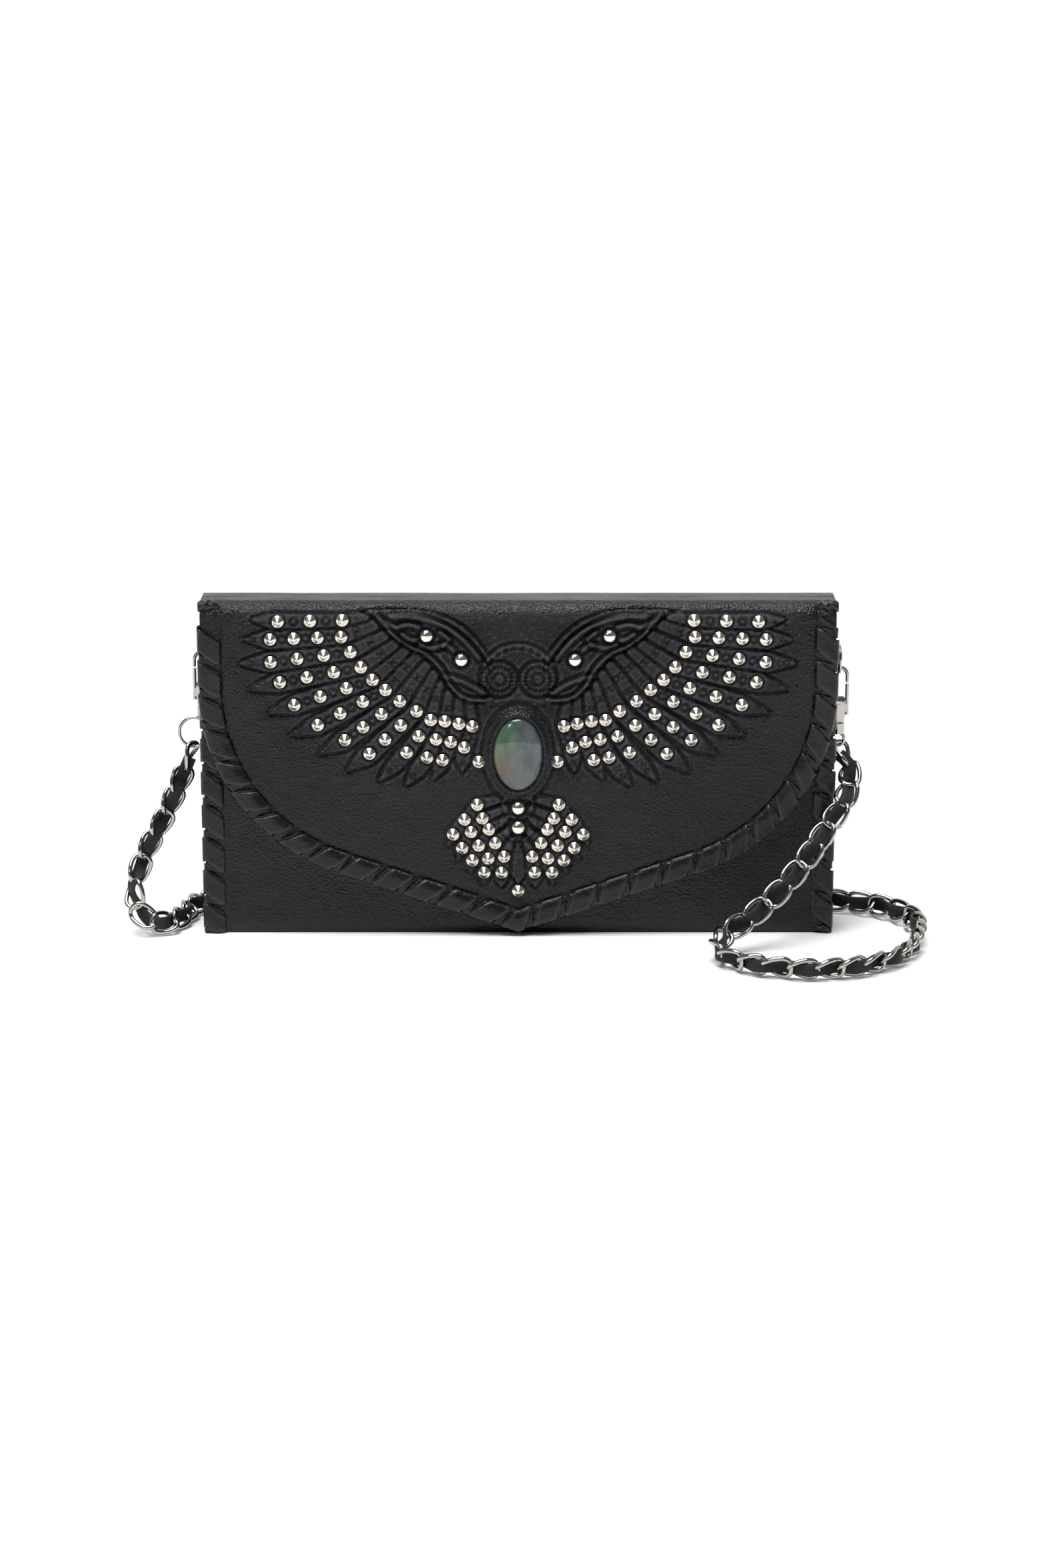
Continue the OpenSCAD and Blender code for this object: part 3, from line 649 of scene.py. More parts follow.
SIDES = ((-1, "left"), (1, "right"))
BOX_CELL = 16.0         # widest cell of a soft sheet's hidden face
BOX_WAVES = 0.12
PLATE_LOW, PLATE_HIGH = node_box("flap_plate")
TOP_LOW, TOP_HIGH = node_box("flap_top")
BACK_LOW, BACK_HIGH = node_box("back_panel")
HALF_WIDTH = PLATE_HIGH[0]
FACE_Y = PLATE_LOW[1]
LEATHER_T = BACK_HIGH[1] - BACK_LOW[1]
TIP_Z = PLATE_LOW[2]
SHOULDER_Z = 100.0
SHOULDER_R = 77.0
FOLD_R = 7.0
TOP_Z = TOP_HIGH[2]
FOLD_Z = TOP_Z - FOLD_R
REAR_Y = BACK_HIGH[1]
SHOULDER_X = HALF_WIDTH - SHOULDER_R
TIP_REACH = math.hypot(SHOULDER_X, SHOULDER_Z - TIP_Z)
EDGE_ANGLE = math.atan2(SHOULDER_Z - TIP_Z, SHOULDER_X) - math.asin(SHOULDER_R / TIP_REACH)
TIP_ROUND = 6           # within this of the tip the outward direction turns over
SLOPE_LENGTH = math.sqrt(TIP_REACH ** 2 - SHOULDER_R ** 2)

# Studs as in the CAD part: first x, z, last x, z and the number in the row, on one side
WING_ROWS = [(68, 127, 93, 126.5, 3), (68.5, 120.5, 96, 119.5, 4), (65, 114.5, 96, 110.5, 4),
             (61, 108.5, 92.5, 102.5, 4), (56.5, 103.5, 87, 93.5, 4), (51.5, 99.5, 78, 85.5, 4),
             (46, 95, 67.5, 79.5, 4), (39.5, 91, 58, 74, 4), (34, 87.5, 43.5, 74.5, 3),
             (28.5, 87, 35.5, 72.5, 3), (23, 86, 29.5, 71.5, 3), (17.8, 85, 21, 76.5, 2)]
LONE_STUD = (15.3, 70.8)
TAIL_ROWS = [(16, 53.5, 16, 53.5, 1), (14, 48, 21, 47.5, 2), (11.5, 43.5, 25.5, 41.5, 3),
             (9, 38, 22, 36, 3), (5.5, 32.5, 18, 31, 3), (6.5, 26, 13.3, 26, 2)]
TIP_STUD = (0.0, 18.5)
DOMES = [(0, 52.4), (0, 44.5), (35.4, 121), (-35.4, 121), (22, 111.6), (-22, 111.6)]
STONE_Z = 74.0
STONE_HALF = (10.0, 15.0)

# Where each wing feather leaves the arm of the wing, and where it ends
FEATHER_ROOTS = [(59, 128.5), (56, 125), (52, 121), (48, 117.5), (44, 115), (39.5, 112.5), (36, 109),
                 (33, 105.5), (30.5, 101.5), (27, 98), (23, 95.8), (19, 95)]
FEATHER_TIPS = [(104, 127.5), (107, 119.5), (109, 110), (105.5, 99.5), (98.5, 90), (89.5, 81),
                (78.5, 73.5), (68, 66.5), (55, 62.5), (44.5, 60.5), (33.5, 63), (22, 66)]
TAIL_FEATHERS = [[(6, 56), (16, 53.5), (25.5, 41.5), (28, 36)], [(5, 52), (14, 48), (22, 36), (24, 30.5)],
                 [(5, 48), (11.5, 43.5), (18, 31), (19, 25)], [(4, 43), (9, 38), (13.3, 26), (13.8, 20.5)],
                 [(2.6, 39), (5.5, 32.5), (6.5, 26), (6.7, 19.5)], [(0, 41), (0, 33), (0, 26), (0, 21)]]
ARM_TOP = [(11, 112.5), (17, 120.5), (24, 126.3), (33, 130), (42, 131.4), (53, 131.3), (60, 130.6)]
ARM_LOW = [(60, 130.6), (55.5, 128.5), (52, 124.5), (48.5, 120.5), (42, 116), (36.5, 113.5), (31, 108),
           (27, 101), (22.5, 96.5), (17, 94.8), (11, 95)]
ARM_SCROLLS = [[(57, 128.5), (52, 127), (48, 124.5), (43, 125.5), (38.5, 124.5)],
               [(55, 129.5), (49, 128.8), (42, 128.8), (35, 127.6), (28, 124.8), (21, 119.5), (15, 112.5)],
               [(38, 117.5), (33, 116.5), (28, 117.5), (25, 115.5)],
               [(30, 122.5), (27, 119.8), (29, 117.5)],
               [(45, 121.5), (41.5, 119.5), (38, 120)],
               [(28, 105), (22.5, 103.5), (17.5, 101), (13, 98.5)]]
FAN_DISCS = [(-7.2, 104, 7.2), (7.6, 104, 7.2)]
TAIL_TIPS = [(28, 37), (24, 31), (19, 26), (14, 21)]
FIGURE_RISE = 1.7
FAR = 9.0               # a distance too great for a groove to show


def between(a, b, f):
    """Place a share f of the way from a to b."""
    return a[0] + f * (b[0] - a[0]), a[1] + f * (b[1] - a[1])


def stud_places(rows):
    places = []
    for x0, z0, x1, z1, count in rows:
        for i in range(count):
            places.append(between((x0, z0), (x1, z1), i / max(1, count - 1)))
    return places


HALF_STUDS = stud_places(WING_ROWS) + [LONE_STUD] + stud_places(TAIL_ROWS)
CONES = [(side * x, z) for x, z in HALF_STUDS for side in (-1, 1)] + [TIP_STUD]
# Flat seat and pressed ring under each stud: seat radius, slope, ring depth, reach and radius of the dip
STUD_SEATS = ((CONES, 2.4, 1.2, 0.16, 5, 3), (DOMES, 2.9, 1.3, 0.2, 6, 3.4))


def ridge(distance, width, height):
    return height * np.exp(-(distance / width) ** 2)


def groove(distance, width, depth):
    return -ridge(distance, width, depth)


def feather_height(x, z, spine, half_width):
    """Pillowed leaf along a spine with a cut outline and fine barbs; zero outside."""
    d, along = line_distance(x, z, spine)
    total = sum(math.dist(a, b) for a, b in zip(spine[:-1], spine[1:]))
    t = along / total
    point = np.clip((1.0 - t) / 0.2, 0, 1) ** 0.75
    width = half_width * (0.62 + 0.38 * np.sin(np.clip(t, 0, 1) * math.pi * 0.62)) * np.maximum(point, 0.05)
    inside = np.clip(1.0 - (d / width) ** 2, 0, 1)
    height = 0.5 * np.sqrt(inside) + ridge(d, 0.45, 0.1) * np.clip((t - 0.7) / 0.2, 0, 1)
    barbs = 0.12 * np.sin(2 * math.pi * (along + 0.9 * d) / 1.9) * (inside > 0.02)
    height += barbs * np.clip((t - 0.6) / 0.3, 0, 1)
    return height + groove(d - width, 0.6, 0.65) * (t < 0.999), d < width


STAMP_GAP = 3.4
STAMP_ASIDE = 1.1
WIDE_STUD_GAP = 8.5
LONG_TIP = 7


def ring_stamps():
    """Small ring stamps among the studs of one wing: x, z, radius and depth."""
    stamps = []
    for root, (x0, z0, x1, z1, count), tip in zip(FEATHER_ROOTS, WING_ROWS, FEATHER_TIPS):
        first, last = (x0, z0), (x1, z1)
        gap = math.dist(root, first)
        row = int(gap / STAMP_GAP)
        for k in range(row):
            x, z = between(root, first, (k + 0.55) / row)
            for side in (-1, 1):
                if (k + side) % 2 == 0:
                    aside = side * STAMP_ASIDE / gap
                    stamps.append((x + aside * (z0 - root[1]), z - aside * (x0 - root[0]), 0.95, 0.2))
        if math.dist(first, last) / (count - 1) > WIDE_STUD_GAP:
            for i in range(count - 1):
                stamps.append((*between(first, last, (i + 0.5) / (count - 1)), 1.35, 0.24))
        if math.dist(last, tip) > LONG_TIP:
            stamps.append((*between(last, tip, 0.62), 0.9, 0.2))
    return stamps


def in_polygon(x, z, points):
    inside = np.zeros(x.shape, bool)
    for (ax, az), (bx, bz) in zip(points, points[1:] + points[:1]):
        if az != bz:
            inside ^= ((az > z) != (bz > z)) & (x < (bx - ax) * (z - az) / (bz - az) + ax)
    return inside


def smooth_noise(x, z, scale, seed):
    """Sum of a few fixed waves: gentle unevenness of soft leather."""
    rng = random.Random(seed)
    total = np.zeros(x.shape)
    for _ in range(7):
        a = rng.uniform(0, 2 * math.pi)
        f = rng.uniform(0.5, 1.4) / scale
        total += np.sin(2 * math.pi * f * (x * math.cos(a) + z * math.sin(a)) + rng.uniform(0, 6.28))
    return total / 7


def feathers(ax, z):
    """Height of the wing and tail feathers, each under the ones before it, and where they are."""
    spines = [([root, row[:2], row[2:4], tip], 4.3 if row[4] == 4 else 3.6)
              for root, row, tip in zip(FEATHER_ROOTS, WING_ROWS, FEATHER_TIPS)]
    spines += [(spine, 3.2) for spine in TAIL_FEATHERS]
    figure = np.zeros(ax.shape)
    covered = np.zeros(ax.shape, bool)
    for spine, spread in spines:
        part, inside = feather_height(ax, z, spine, spread)
        figure = np.where(inside & ~covered, part, figure + np.where(covered, 0, np.minimum(part, 0)))
        covered |= inside
    return figure, covered


def carve_arms(figure, ax, z):
    """Raised arms of the wings, with a double border, scrolls and a cross-cut ground."""
    arm = in_polygon(ax, z, ARM_TOP + ARM_LOW[1:])
    edges = [line_distance(ax, z, catmull(edge, 6).tolist())[0] for edge in (ARM_TOP, ARM_LOW)]
    d_edge = np.minimum(*edges)
    figure = np.where(arm, 0.3 + 0.35 * np.clip(d_edge / 2.2, 0, 1), figure)
    border = ridge(d_edge - 0.8, 0.75, 0.9) + ridge(d_edge - 3.6, 0.65, 0.45)
    border += groove(d_edge - 2.3, 0.7, 0.7)
    figure += border * arm + groove(np.where(arm, FAR, d_edge), 0.9, 0.7)
    for scroll in ARM_SCROLLS:
        d = line_distance(ax, z, catmull(scroll, 6).tolist())[0]
        figure += (ridge(d, 0.75, 0.75) + groove(d - 1.6, 0.6, 0.6)) * arm
    figure += 0.16 * arm * np.sin(2.9 * ax + 1.3 * z) * np.sin(2.3 * z - 0.7 * ax) * (d_edge > 3.6)
    return figure, arm


def carve_head(figure, x, z, arm):
    """Round cap with rings and ticks, and the two fan discs under it."""
    cap = np.hypot(x, (z - 104) * 1.05)
    head = (cap < 16.5) & (z > 93.5)
    figure = np.where(head & ~arm, 0.4, figure)
    figure += groove(np.where(z > 100, cap - 15.2, FAR), 0.7, 0.7) + ridge(cap - 14.0, 0.6, 0.5) * (z > 101)
    figure += ridge(cap - 11.6, 0.5, 0.4) * (z > 108)
    figure += 0.22 * np.cos(30 * np.arctan2(x, z - 100)) * (np.abs(cap - 12.8) < 1.0) * (z > 106)
    chin = np.where(z <= 100, np.abs(z - 95.2 + 0.02 * x * x), FAR)
    figure += groove(chin, 0.5, 0.3) * (np.abs(x) < 11)
    for cx, cz, r in FAN_DISCS:
        d = np.hypot(x - cx, z - cz)
        rays = np.cos(20 * np.arctan2(z - cz, x - cx)) * np.clip(d / r, 0, 1)
        disc = 0.45 * np.clip(1 - (d / r) ** 4, 0, 1) + 0.5 * rays * (d < r - 1.0) * (d > 2.6)
        disc += groove(d - r, 0.6, 0.8) + groove(d - 0.66 * r, 0.45, 0.5) + groove(d - 0.33 * r, 0.45, 0.5)
        figure += disc * (d < r + 1.5)
    return figure, head


def carve_surround(figure, x, z):
    """Flat seat of the stone with a line round it, and the two collars between the stone and the tail."""
    oval = np.hypot(x / (STONE_HALF[0] + 1.2), (z - STONE_Z) / (STONE_HALF[1] + 1.2))
    oval = (oval - 1) * 12.5
    figure = np.where(oval < 3.4, 0.0, figure) + groove(oval - 3.3, 0.6, 0.5)
    collar = np.hypot(x, (z - 54) * 0.92)
    figure += (ridge(collar - 5.4, 0.7, 0.55) + groove(collar - 6.9, 0.45, 0.4)) * (z < 57) * (oval > 1.5)
    collar = np.hypot(x, (z - 47) * 0.9)
    return figure + (ridge(collar - 6.6, 0.7, 0.3) + groove(collar - 7.9, 0.45, 0.35)) * (z < 47)


def tooling(x, z):
    """Height of the carved and stamped figure above the flat leather."""
    ax = np.abs(x)
    height = 0.16 * smooth_noise(x, z, 60, 3) + 0.05 * smooth_noise(x, z, 13, 5)
    figure, covered = feathers(ax, z)
    figure, arm = carve_arms(figure, ax, z)
    figure, head = carve_head(figure, x, z, arm)
    for cx, cz, r, depth in ring_stamps():
        d = np.hypot(ax - cx, z - cz)
        figure += groove(d - r, 0.45, 1.6 * depth) + ridge(d, 0.5 * r, 0.25)
    figure = carve_surround(figure, x, z)
    matted = smooth_noise(x, z, 2.1, 11) * smooth_noise(x, z, 1.5, 17)
    near_tips = np.zeros(x.shape)
    for tip in FEATHER_TIPS + TAIL_TIPS:
        near_tips += ridge(np.hypot(ax - tip[0], z - tip[1]), 4.5, 1)
    height += 3.2 * matted * np.clip(near_tips, 0, 1) * ~covered
    height += matted * (covered | head)
    for places, seat, slope, ring, reach, dip in STUD_SEATS:
        for cx, cz in places:
            near = (np.abs(x - cx) < reach) & (np.abs(z - cz) < reach)
            d = np.hypot(x[near] - cx, z[near] - cz)
            keep = np.clip((d - seat) / slope, 0, 1)
            figure[near] = figure[near] * keep + groove(d - seat - 0.5, 0.5, ring)
            height[near] = height[near] * keep - 0.1 * (d < dip)
    inwards = edge_distance(x, z)
    seam = groove(inwards - LACE_REACH - 0.1, 0.55, 0.55) + groove(inwards - LACE_REACH, 2.4, 0.35)
    return height + FIGURE_RISE * figure * np.clip((inwards - LACE_REACH - 1) / 2.0, 0, 1) + seam


def lower_edge(x):
    """Height of the flap's edge at x: sloping line, then round shoulder."""
    x = np.abs(x)
    touch = SLOPE_LENGTH * math.cos(EDGE_ANGLE)
    slope = TIP_Z + x * math.tan(EDGE_ANGLE)
    dx = np.clip(x - SHOULDER_X, 0, SHOULDER_R)
    return np.where(x < touch, slope, SHOULDER_Z - np.sqrt(np.maximum(SHOULDER_R ** 2 - dx ** 2, 0)))


def edge_distance(x, z):
    """Distance inwards from the flap's outline."""
    ax = np.abs(x)
    across, down = ax - SHOULDER_X, SHOULDER_Z - z
    slope = (z - TIP_Z - ax * math.tan(EDGE_ANGLE)) * math.cos(EDGE_ANGLE)
    straight = np.minimum(HALF_WIDTH - ax, slope)
    in_shoulder = (across > 0) & (down > 0) & (np.arctan2(across, down) > EDGE_ANGLE)
    return np.where(in_shoulder, SHOULDER_R - np.hypot(across, down), straight)


def flap_edge(s):
    """Point on the flap's outline and the outward normal, s millimetres from the left end of the fold."""
    side = FOLD_Z - SHOULDER_Z
    arc = (math.pi / 2 - EDGE_ANGLE) * SHOULDER_R
    half = side + arc + SLOPE_LENGTH
    mirror = -1 if s <= half else 1
    t = s if s <= half else 2 * half - s
    if t < side:
        x, z, nx, nz = HALF_WIDTH, FOLD_Z - t, 1.0, 0.0
    elif t < side + arc:
        a = math.pi / 2 - (t - side) / SHOULDER_R
        x, z = SHOULDER_X + SHOULDER_R * math.sin(a), SHOULDER_Z - SHOULDER_R * math.cos(a)
        nx, nz = math.sin(a), -math.cos(a)
    else:
        left = half - t
        x, z = left * math.cos(EDGE_ANGLE), TIP_Z + left * math.sin(EDGE_ANGLE)
        nx, nz = math.sin(EDGE_ANGLE), -math.cos(EDGE_ANGLE)
        if left < TIP_ROUND:
            nx *= left / TIP_ROUND
            length = math.hypot(nx, nz)
            nx, nz = nx / length, nz / length
    return mirror * x, z, mirror * nx, nz


FLAP_EDGE = 2 * ((FOLD_Z - SHOULDER_Z) + (math.pi / 2 - EDGE_ANGLE) * SHOULDER_R + SLOPE_LENGTH)
LACE_PITCH = 13.4
LACE_WIDTH = 9.6
LACE_SLANT = 5.4
LACE_REACH = 7.2
LACE_HEIGHT = 0.8
BACK_SLANT = 7.5
LACE_VARIES = 0.5       # the most by which a turn's width and slant differ from the rest
FLAP_START = 1.5        # from the fold's left end to the run of turns along the flap
FLAP_SPARE = 7
FIRST_TURN_Z = 7.6      # middle of the lowest turn on the sides
LOWEST_LACE = 0.4
# The two narrow creased turns that show between the wide ones: how far the middle is past the wide turn's,
# width, how much less it reaches in, slant in front and behind, and height
CREASED_TURNS = [(LACE_PITCH / 2 + 0.2, 2.7, 1.4, 1.2, 5.0, 0.42),
                 (LACE_PITCH / 2 + 2.1, 1.7, 0.6, 4.4, 6.0, 0.5)]


def lace_band(edge, s_mid, width, reach, slant, back_slant, front, back, height):
    """One turn of lace: points of a closed band from its front slit, around the edge, to its back slit."""
    profile = [(-reach, front + 0.35, slant),
               (-reach + 0.5, front - 0.45 * height, slant * (1 - 0.5 / reach)),
               (-0.62 * reach, front - 1.25 * height, 0.62 * slant),
               (-0.3 * reach, front - 1.2 * height, 0.3 * slant),
               (-0.4, front - 0.95 * height, 0.0), (0.62 * height, front - 0.3 * height, -0.3),
               (0.95 * height, (front + back) / 2, -0.5), (0.62 * height, back + 0.3 * height, -0.9),
               (-0.4, back + 0.95 * height, -1.2), (-0.4 * reach, back + 1.1 * height, -0.45 * back_slant),
               (-reach + 0.5, back + 0.45 * height, -0.95 * back_slant), (-reach, back - 0.35, -back_slant)]
    spine = catmull(profile, 3)
    heading = unit(np.gradient(spine[:, :2], axis=0))
    normals = np.column_stack([heading[:, 1], -heading[:, 0]])
    across = np.linspace(-1, 1, 9)
    crown = np.sqrt(1 - np.abs(across) ** 5) * 0.62 - 0.5
    crown[0] = crown[-1] = -0.6
    section = [(v, h * height) for v, h in zip(across, crown)] + [(v, -0.72 * height) for v in across[::-1]]
    points = []
    for (r, y, shift), (nr, ny) in zip(spine, normals):
        for v, h in section:
            fade = 1 - 0.35 * max(0.0, (-r - 0.8 * reach) / reach) * abs(v)
            x, z, ox, oz = edge(s_mid + shift + 0.5 * v * width * fade)
            out = r - nr * h
            points.append((x + ox * out, y - ny * h, z + oz * out))
    return points, len(section), len(spine)


def add_lacing(name, edge, spots, front, back, body, stands_for, sign=1, seed=0):
    """A run of lace turns with the narrow creased turns that show between them."""
    rng = random.Random(seed)
    points, faces = [], []
    for spot in spots:
        width = LACE_WIDTH + rng.uniform(-LACE_VARIES, LACE_VARIES)
        slant = LACE_SLANT + rng.uniform(-LACE_VARIES, LACE_VARIES)
        turns = [(0, width, 0, slant, BACK_SLANT, LACE_HEIGHT)] + CREASED_TURNS
        for after, wide, less, lean, back_lean, height in turns:
            band, count, rings = lace_band(edge, spot + sign * after, wide, LACE_REACH - less, sign * lean,
                                           sign * back_lean, front, back, height)
            faces += tube_faces(count, rings, len(points))
            points += band
    settle(make_object(name, points, faces, LACE), body, "lace_leather", stands_for)


def side_edge(side):
    """The straight edge of a panel, which lace turns wrap like the flap's."""
    def edge(s):
        return side * HALF_WIDTH, max(LOWEST_LACE, s), float(side), 0.0
    return edge


def add_all_lacing():
    count = int(FLAP_EDGE / LACE_PITCH)
    step = (FLAP_EDGE - FLAP_SPARE) / count
    spots = [FLAP_START + step * (i + 0.5) for i in range(count)]
    lining_back = node_box("flap_lining")[1][1]
    add_lacing("flap_lacing", flap_edge, spots, FACE_Y, lining_back, "flap", "flap_lace", seed=4)
    front = node_box("front_panel")[0][1]
    panels = (("front", 7, front, node_box("front_lining")[1][1], 8),
              ("back", 9, node_box("back_lining")[0][1], REAR_Y, 12))
    for side, label in SIDES:
        for panel, turns, near, far, seed in panels:
            heights = [FIRST_TURN_Z + i * LACE_PITCH for i in range(turns)]
            add_lacing(f"{panel}_lacing_{label}", side_edge(side), heights, near, far, "wallet",
                       f"lace_{panel}_{label}", side, seed + side)
        add_knot("knot_top_" + label, side, -10.9, 131.9, 2.45, 8.6, "flap_top")
        add_knot("knot_base_" + label, side, front - 0.2, 1.5, 1.45, 7.5, "wallet")


def add_knot(name, side, y_start, z_start, radius, long, body):
    """Rolled end of the lace lying across a corner."""
    points = []
    rings, count = 22, 16
    for f in np.linspace(0, 1, rings):
        x = HALF_WIDTH + 0.8 - long * f
        swell = math.sin(math.pi * min(1.0, 0.08 + 0.92 * f) ** 0.7) ** 0.35
        y, z = y_start + 0.7 * f, z_start + 0.5 * math.sin(3 * f)
        for b in circle(count):
            r = radius * swell * (1 + 0.1 * math.cos(3 * (b + 5.2 * f)))
            points.append((side * x, y + r * math.cos(b), z + 0.95 * r * math.sin(b)))
    settle(make_object(name, points, tube_faces(count, rings), LACE), body, "lace_leather")


CONE = [(2.5, -0.2), (2.5, 0.28), (2.38, 0.46), (2.1, 0.62), (1.2, 1.52), (0.45, 2.2), (0.2, 2.36),
        (0.05, 2.4)]
DOME = [(3.0, -0.2), (3.0, 0.25), (2.9, 0.45)]
DOME += [(2.86 * math.cos(a), 0.5 + 2.45 * math.sin(a)) for a in np.linspace(0.1, 1.55, 11)]
# The lip round the stone: how far out of the stone's edge, and how high above the flap
LIP = [(-0.3, -0.3), (-0.35, 1.3), (-0.1, 1.95), (0.45, 2.15), (1.05, 1.9), (1.6, 1.2), (2.3, 0.6),
       (3.2, 0.25), (3.9, -0.1), (3.9, -0.3)]
LIP_TURNS = 96


def lathe(points, faces, centre, profile, turns, tilt=(0.0, 0.0), stretch=1.0):
    """Add a turned shape whose axis points out of the flap: profile lists (radius, height)."""
    faces += tube_faces(turns, len(profile), len(points))
    for r, h in profile:
        for a in circle(turns):
            points.append((centre[0] + r * math.cos(a) + tilt[0] * h, FACE_Y - h,
                           centre[1] + r * stretch * math.sin(a) + tilt[1] * h))


def add_studs():
    """Turned cone studs, slightly askew as set by hand, and polished domes."""
    rng = random.Random(21)
    points, faces = [], []
    for centre in CONES:
        lathe(points, faces, centre, CONE, 28, (rng.uniform(-0.06, 0.06), rng.uniform(-0.06, 0.06)))
    settle(make_object("turned_studs", points, faces, STUD), "flap", "stud_metal", "cone_studs")
    points, faces = [], []
    for centre in DOMES:
        lathe(points, faces, centre, DOME, 36)
    settle(make_object("domed_studs", points, faces, STUD), "flap", "stud_metal", "dome_studs")


def add_stone():
    """Oval cabochon and the leather lip moulded around it."""
    points, faces = [], []
    rise = FACE_Y - node_box("stone")[0][1]
    half, tall = STONE_HALF
    side = [(half * math.cos(a) ** 0.9, rise * math.sin(a)) for a in np.linspace(0, 1.56, 20)]
    lathe(points, faces, (0, STONE_Z), side, 64, stretch=tall / half)
    settle(make_object("cabochon", points, faces, STONE), "flap", "stone", "stone")
    points = []
    for off, h in LIP:
        for a in circle(LIP_TURNS):
            wobble = 1 + 0.05 * math.sin(5 * a + 1) + 0.04 * math.sin(11 * a) if h > 0 else 1
            points.append(((half + 0.1 + off) * math.cos(a), FACE_Y - h * wobble,
                           STONE_Z + (tall + 0.1 + off) * math.sin(a)))
    faces = grid_faces(len(LIP), LIP_TURNS, 0, True, True)
    settle(make_object("bezel_lip", points, faces, TOOLED), "flap", "tooled_leather", "bezel")


QUARTER = FOLD_R * math.pi / 2
TOP_FLAT = REAR_Y - FACE_Y - 2 * FOLD_R
MID_TRAVEL = QUARTER + TOP_FLAT / 2
FOLD_TRAVEL = 2 * QUARTER + TOP_FLAT
SKIN_GAP = 0.12         # how far the skin lies inside the CAD sheet, before its unevenness
INNER_STEP = 4          # a sheet's hidden face has every fourth point


def over_fold(travel):
    """Place and outward normal, in y and z, of the leather's outside, travel past the fold's start."""
    if travel < 0:
        return FACE_Y, FOLD_Z + travel, -1.0, 0.0
    if travel < QUARTER:
        a = travel / FOLD_R
        return FACE_Y + FOLD_R * (1 - math.cos(a)), FOLD_Z + FOLD_R * math.sin(a), -math.cos(a), math.sin(a)
    if travel < QUARTER + TOP_FLAT:
        return FACE_Y + FOLD_R + travel - QUARTER, TOP_Z, 0.0, 1.0
    if travel < FOLD_TRAVEL:
        a = (travel - QUARTER - TOP_FLAT) / FOLD_R
        return REAR_Y - FOLD_R * (1 - math.sin(a)), FOLD_Z + FOLD_R * math.cos(a), math.sin(a), math.cos(a)
    return REAR_Y, FOLD_Z - (travel - FOLD_TRAVEL), 1.0, 0.0


def fold_rows(x, travel, lift):
    """Outer and inner row of points of the leather at one place along the fold."""
    y, z, ny, nz = over_fold(travel)
    z = max(z, 0.0)
    flat = np.zeros(len(x))
    return (np.column_stack([x, y + ny * lift, z + nz * lift]),
            np.column_stack([x, flat + y - ny * LEATHER_T, flat + z - nz * LEATHER_T]))


def outline_grid(x, rows, inset, top):
    """Grid of x and z from the flap's outline, or a little above it, up to a height."""
    bottom = np.minimum(lower_edge(x), SHOULDER_Z) + inset
    return np.tile(x, (rows, 1)), bottom + np.linspace(0, 1, rows)[:, None] * (top - bottom)


def add_flap_skin():
    """One piece of leather from the tip, up the tooled front and over the fold to the middle of the top."""
    columns = 353
    x = np.linspace(-HALF_WIDTH, HALF_WIDTH, columns)
    grid_x, grid_z = outline_grid(x, 177, 0, FOLD_Z)
    front = np.dstack([grid_x, FACE_Y + SKIN_GAP - tooling(grid_x, grid_z), grid_z])
    behind = np.dstack([grid_x, np.full(grid_x.shape, FACE_Y + LEATHER_T), grid_z])
    rows = []
    for travel in np.linspace(0, MID_TRAVEL, 29)[1:]:
        flat_z = np.full(columns, FOLD_Z + travel)
        lift = tooling(x, flat_z) * np.clip(1.6 - travel / FOLD_R, 0, 1) - SKIN_GAP
        rows.append(fold_rows(x, travel, lift + 0.1 * smooth_noise(x, flat_z, 38, 23) * min(1, travel / 6)))
    outer = np.concatenate([front, [row[0] for row in rows]])
    inner = np.concatenate([behind, [row[1] for row in rows]])
    skin = thick_sheet("flap_skin", outer, inner, INNER_STEP, CARVED)
    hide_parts("flap_plate")
    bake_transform(skin)


def add_back_skin():
    """The same leather from the middle of the top, over the rear fold and down the back to the base."""
    x = np.linspace(-HALF_WIDTH, HALF_WIDTH, 121)
    over = np.linspace(MID_TRAVEL, FOLD_TRAVEL, 33)
    down = np.linspace(FOLD_TRAVEL, FOLD_TRAVEL + FOLD_Z, 69)[1:]
    rows = []
    for travel in (*over, *down):
        away = np.full(len(x), travel)
        lift = 0.1 * smooth_noise(x, away + FOLD_Z, 38, 23) + 0.12 * smooth_noise(x, away, 70, 29) - SKIN_GAP
        rows.append(fold_rows(x, travel, lift))
    outer, inner = [np.array(face) for face in zip(*rows)]
    outer[:, :, 2] = np.maximum(outer[:, :, 2], 0)
    skin = thick_sheet("back_skin", outer, inner, INNER_STEP, TOOLED)
    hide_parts("back_panel", "flap_top")
    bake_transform(skin)


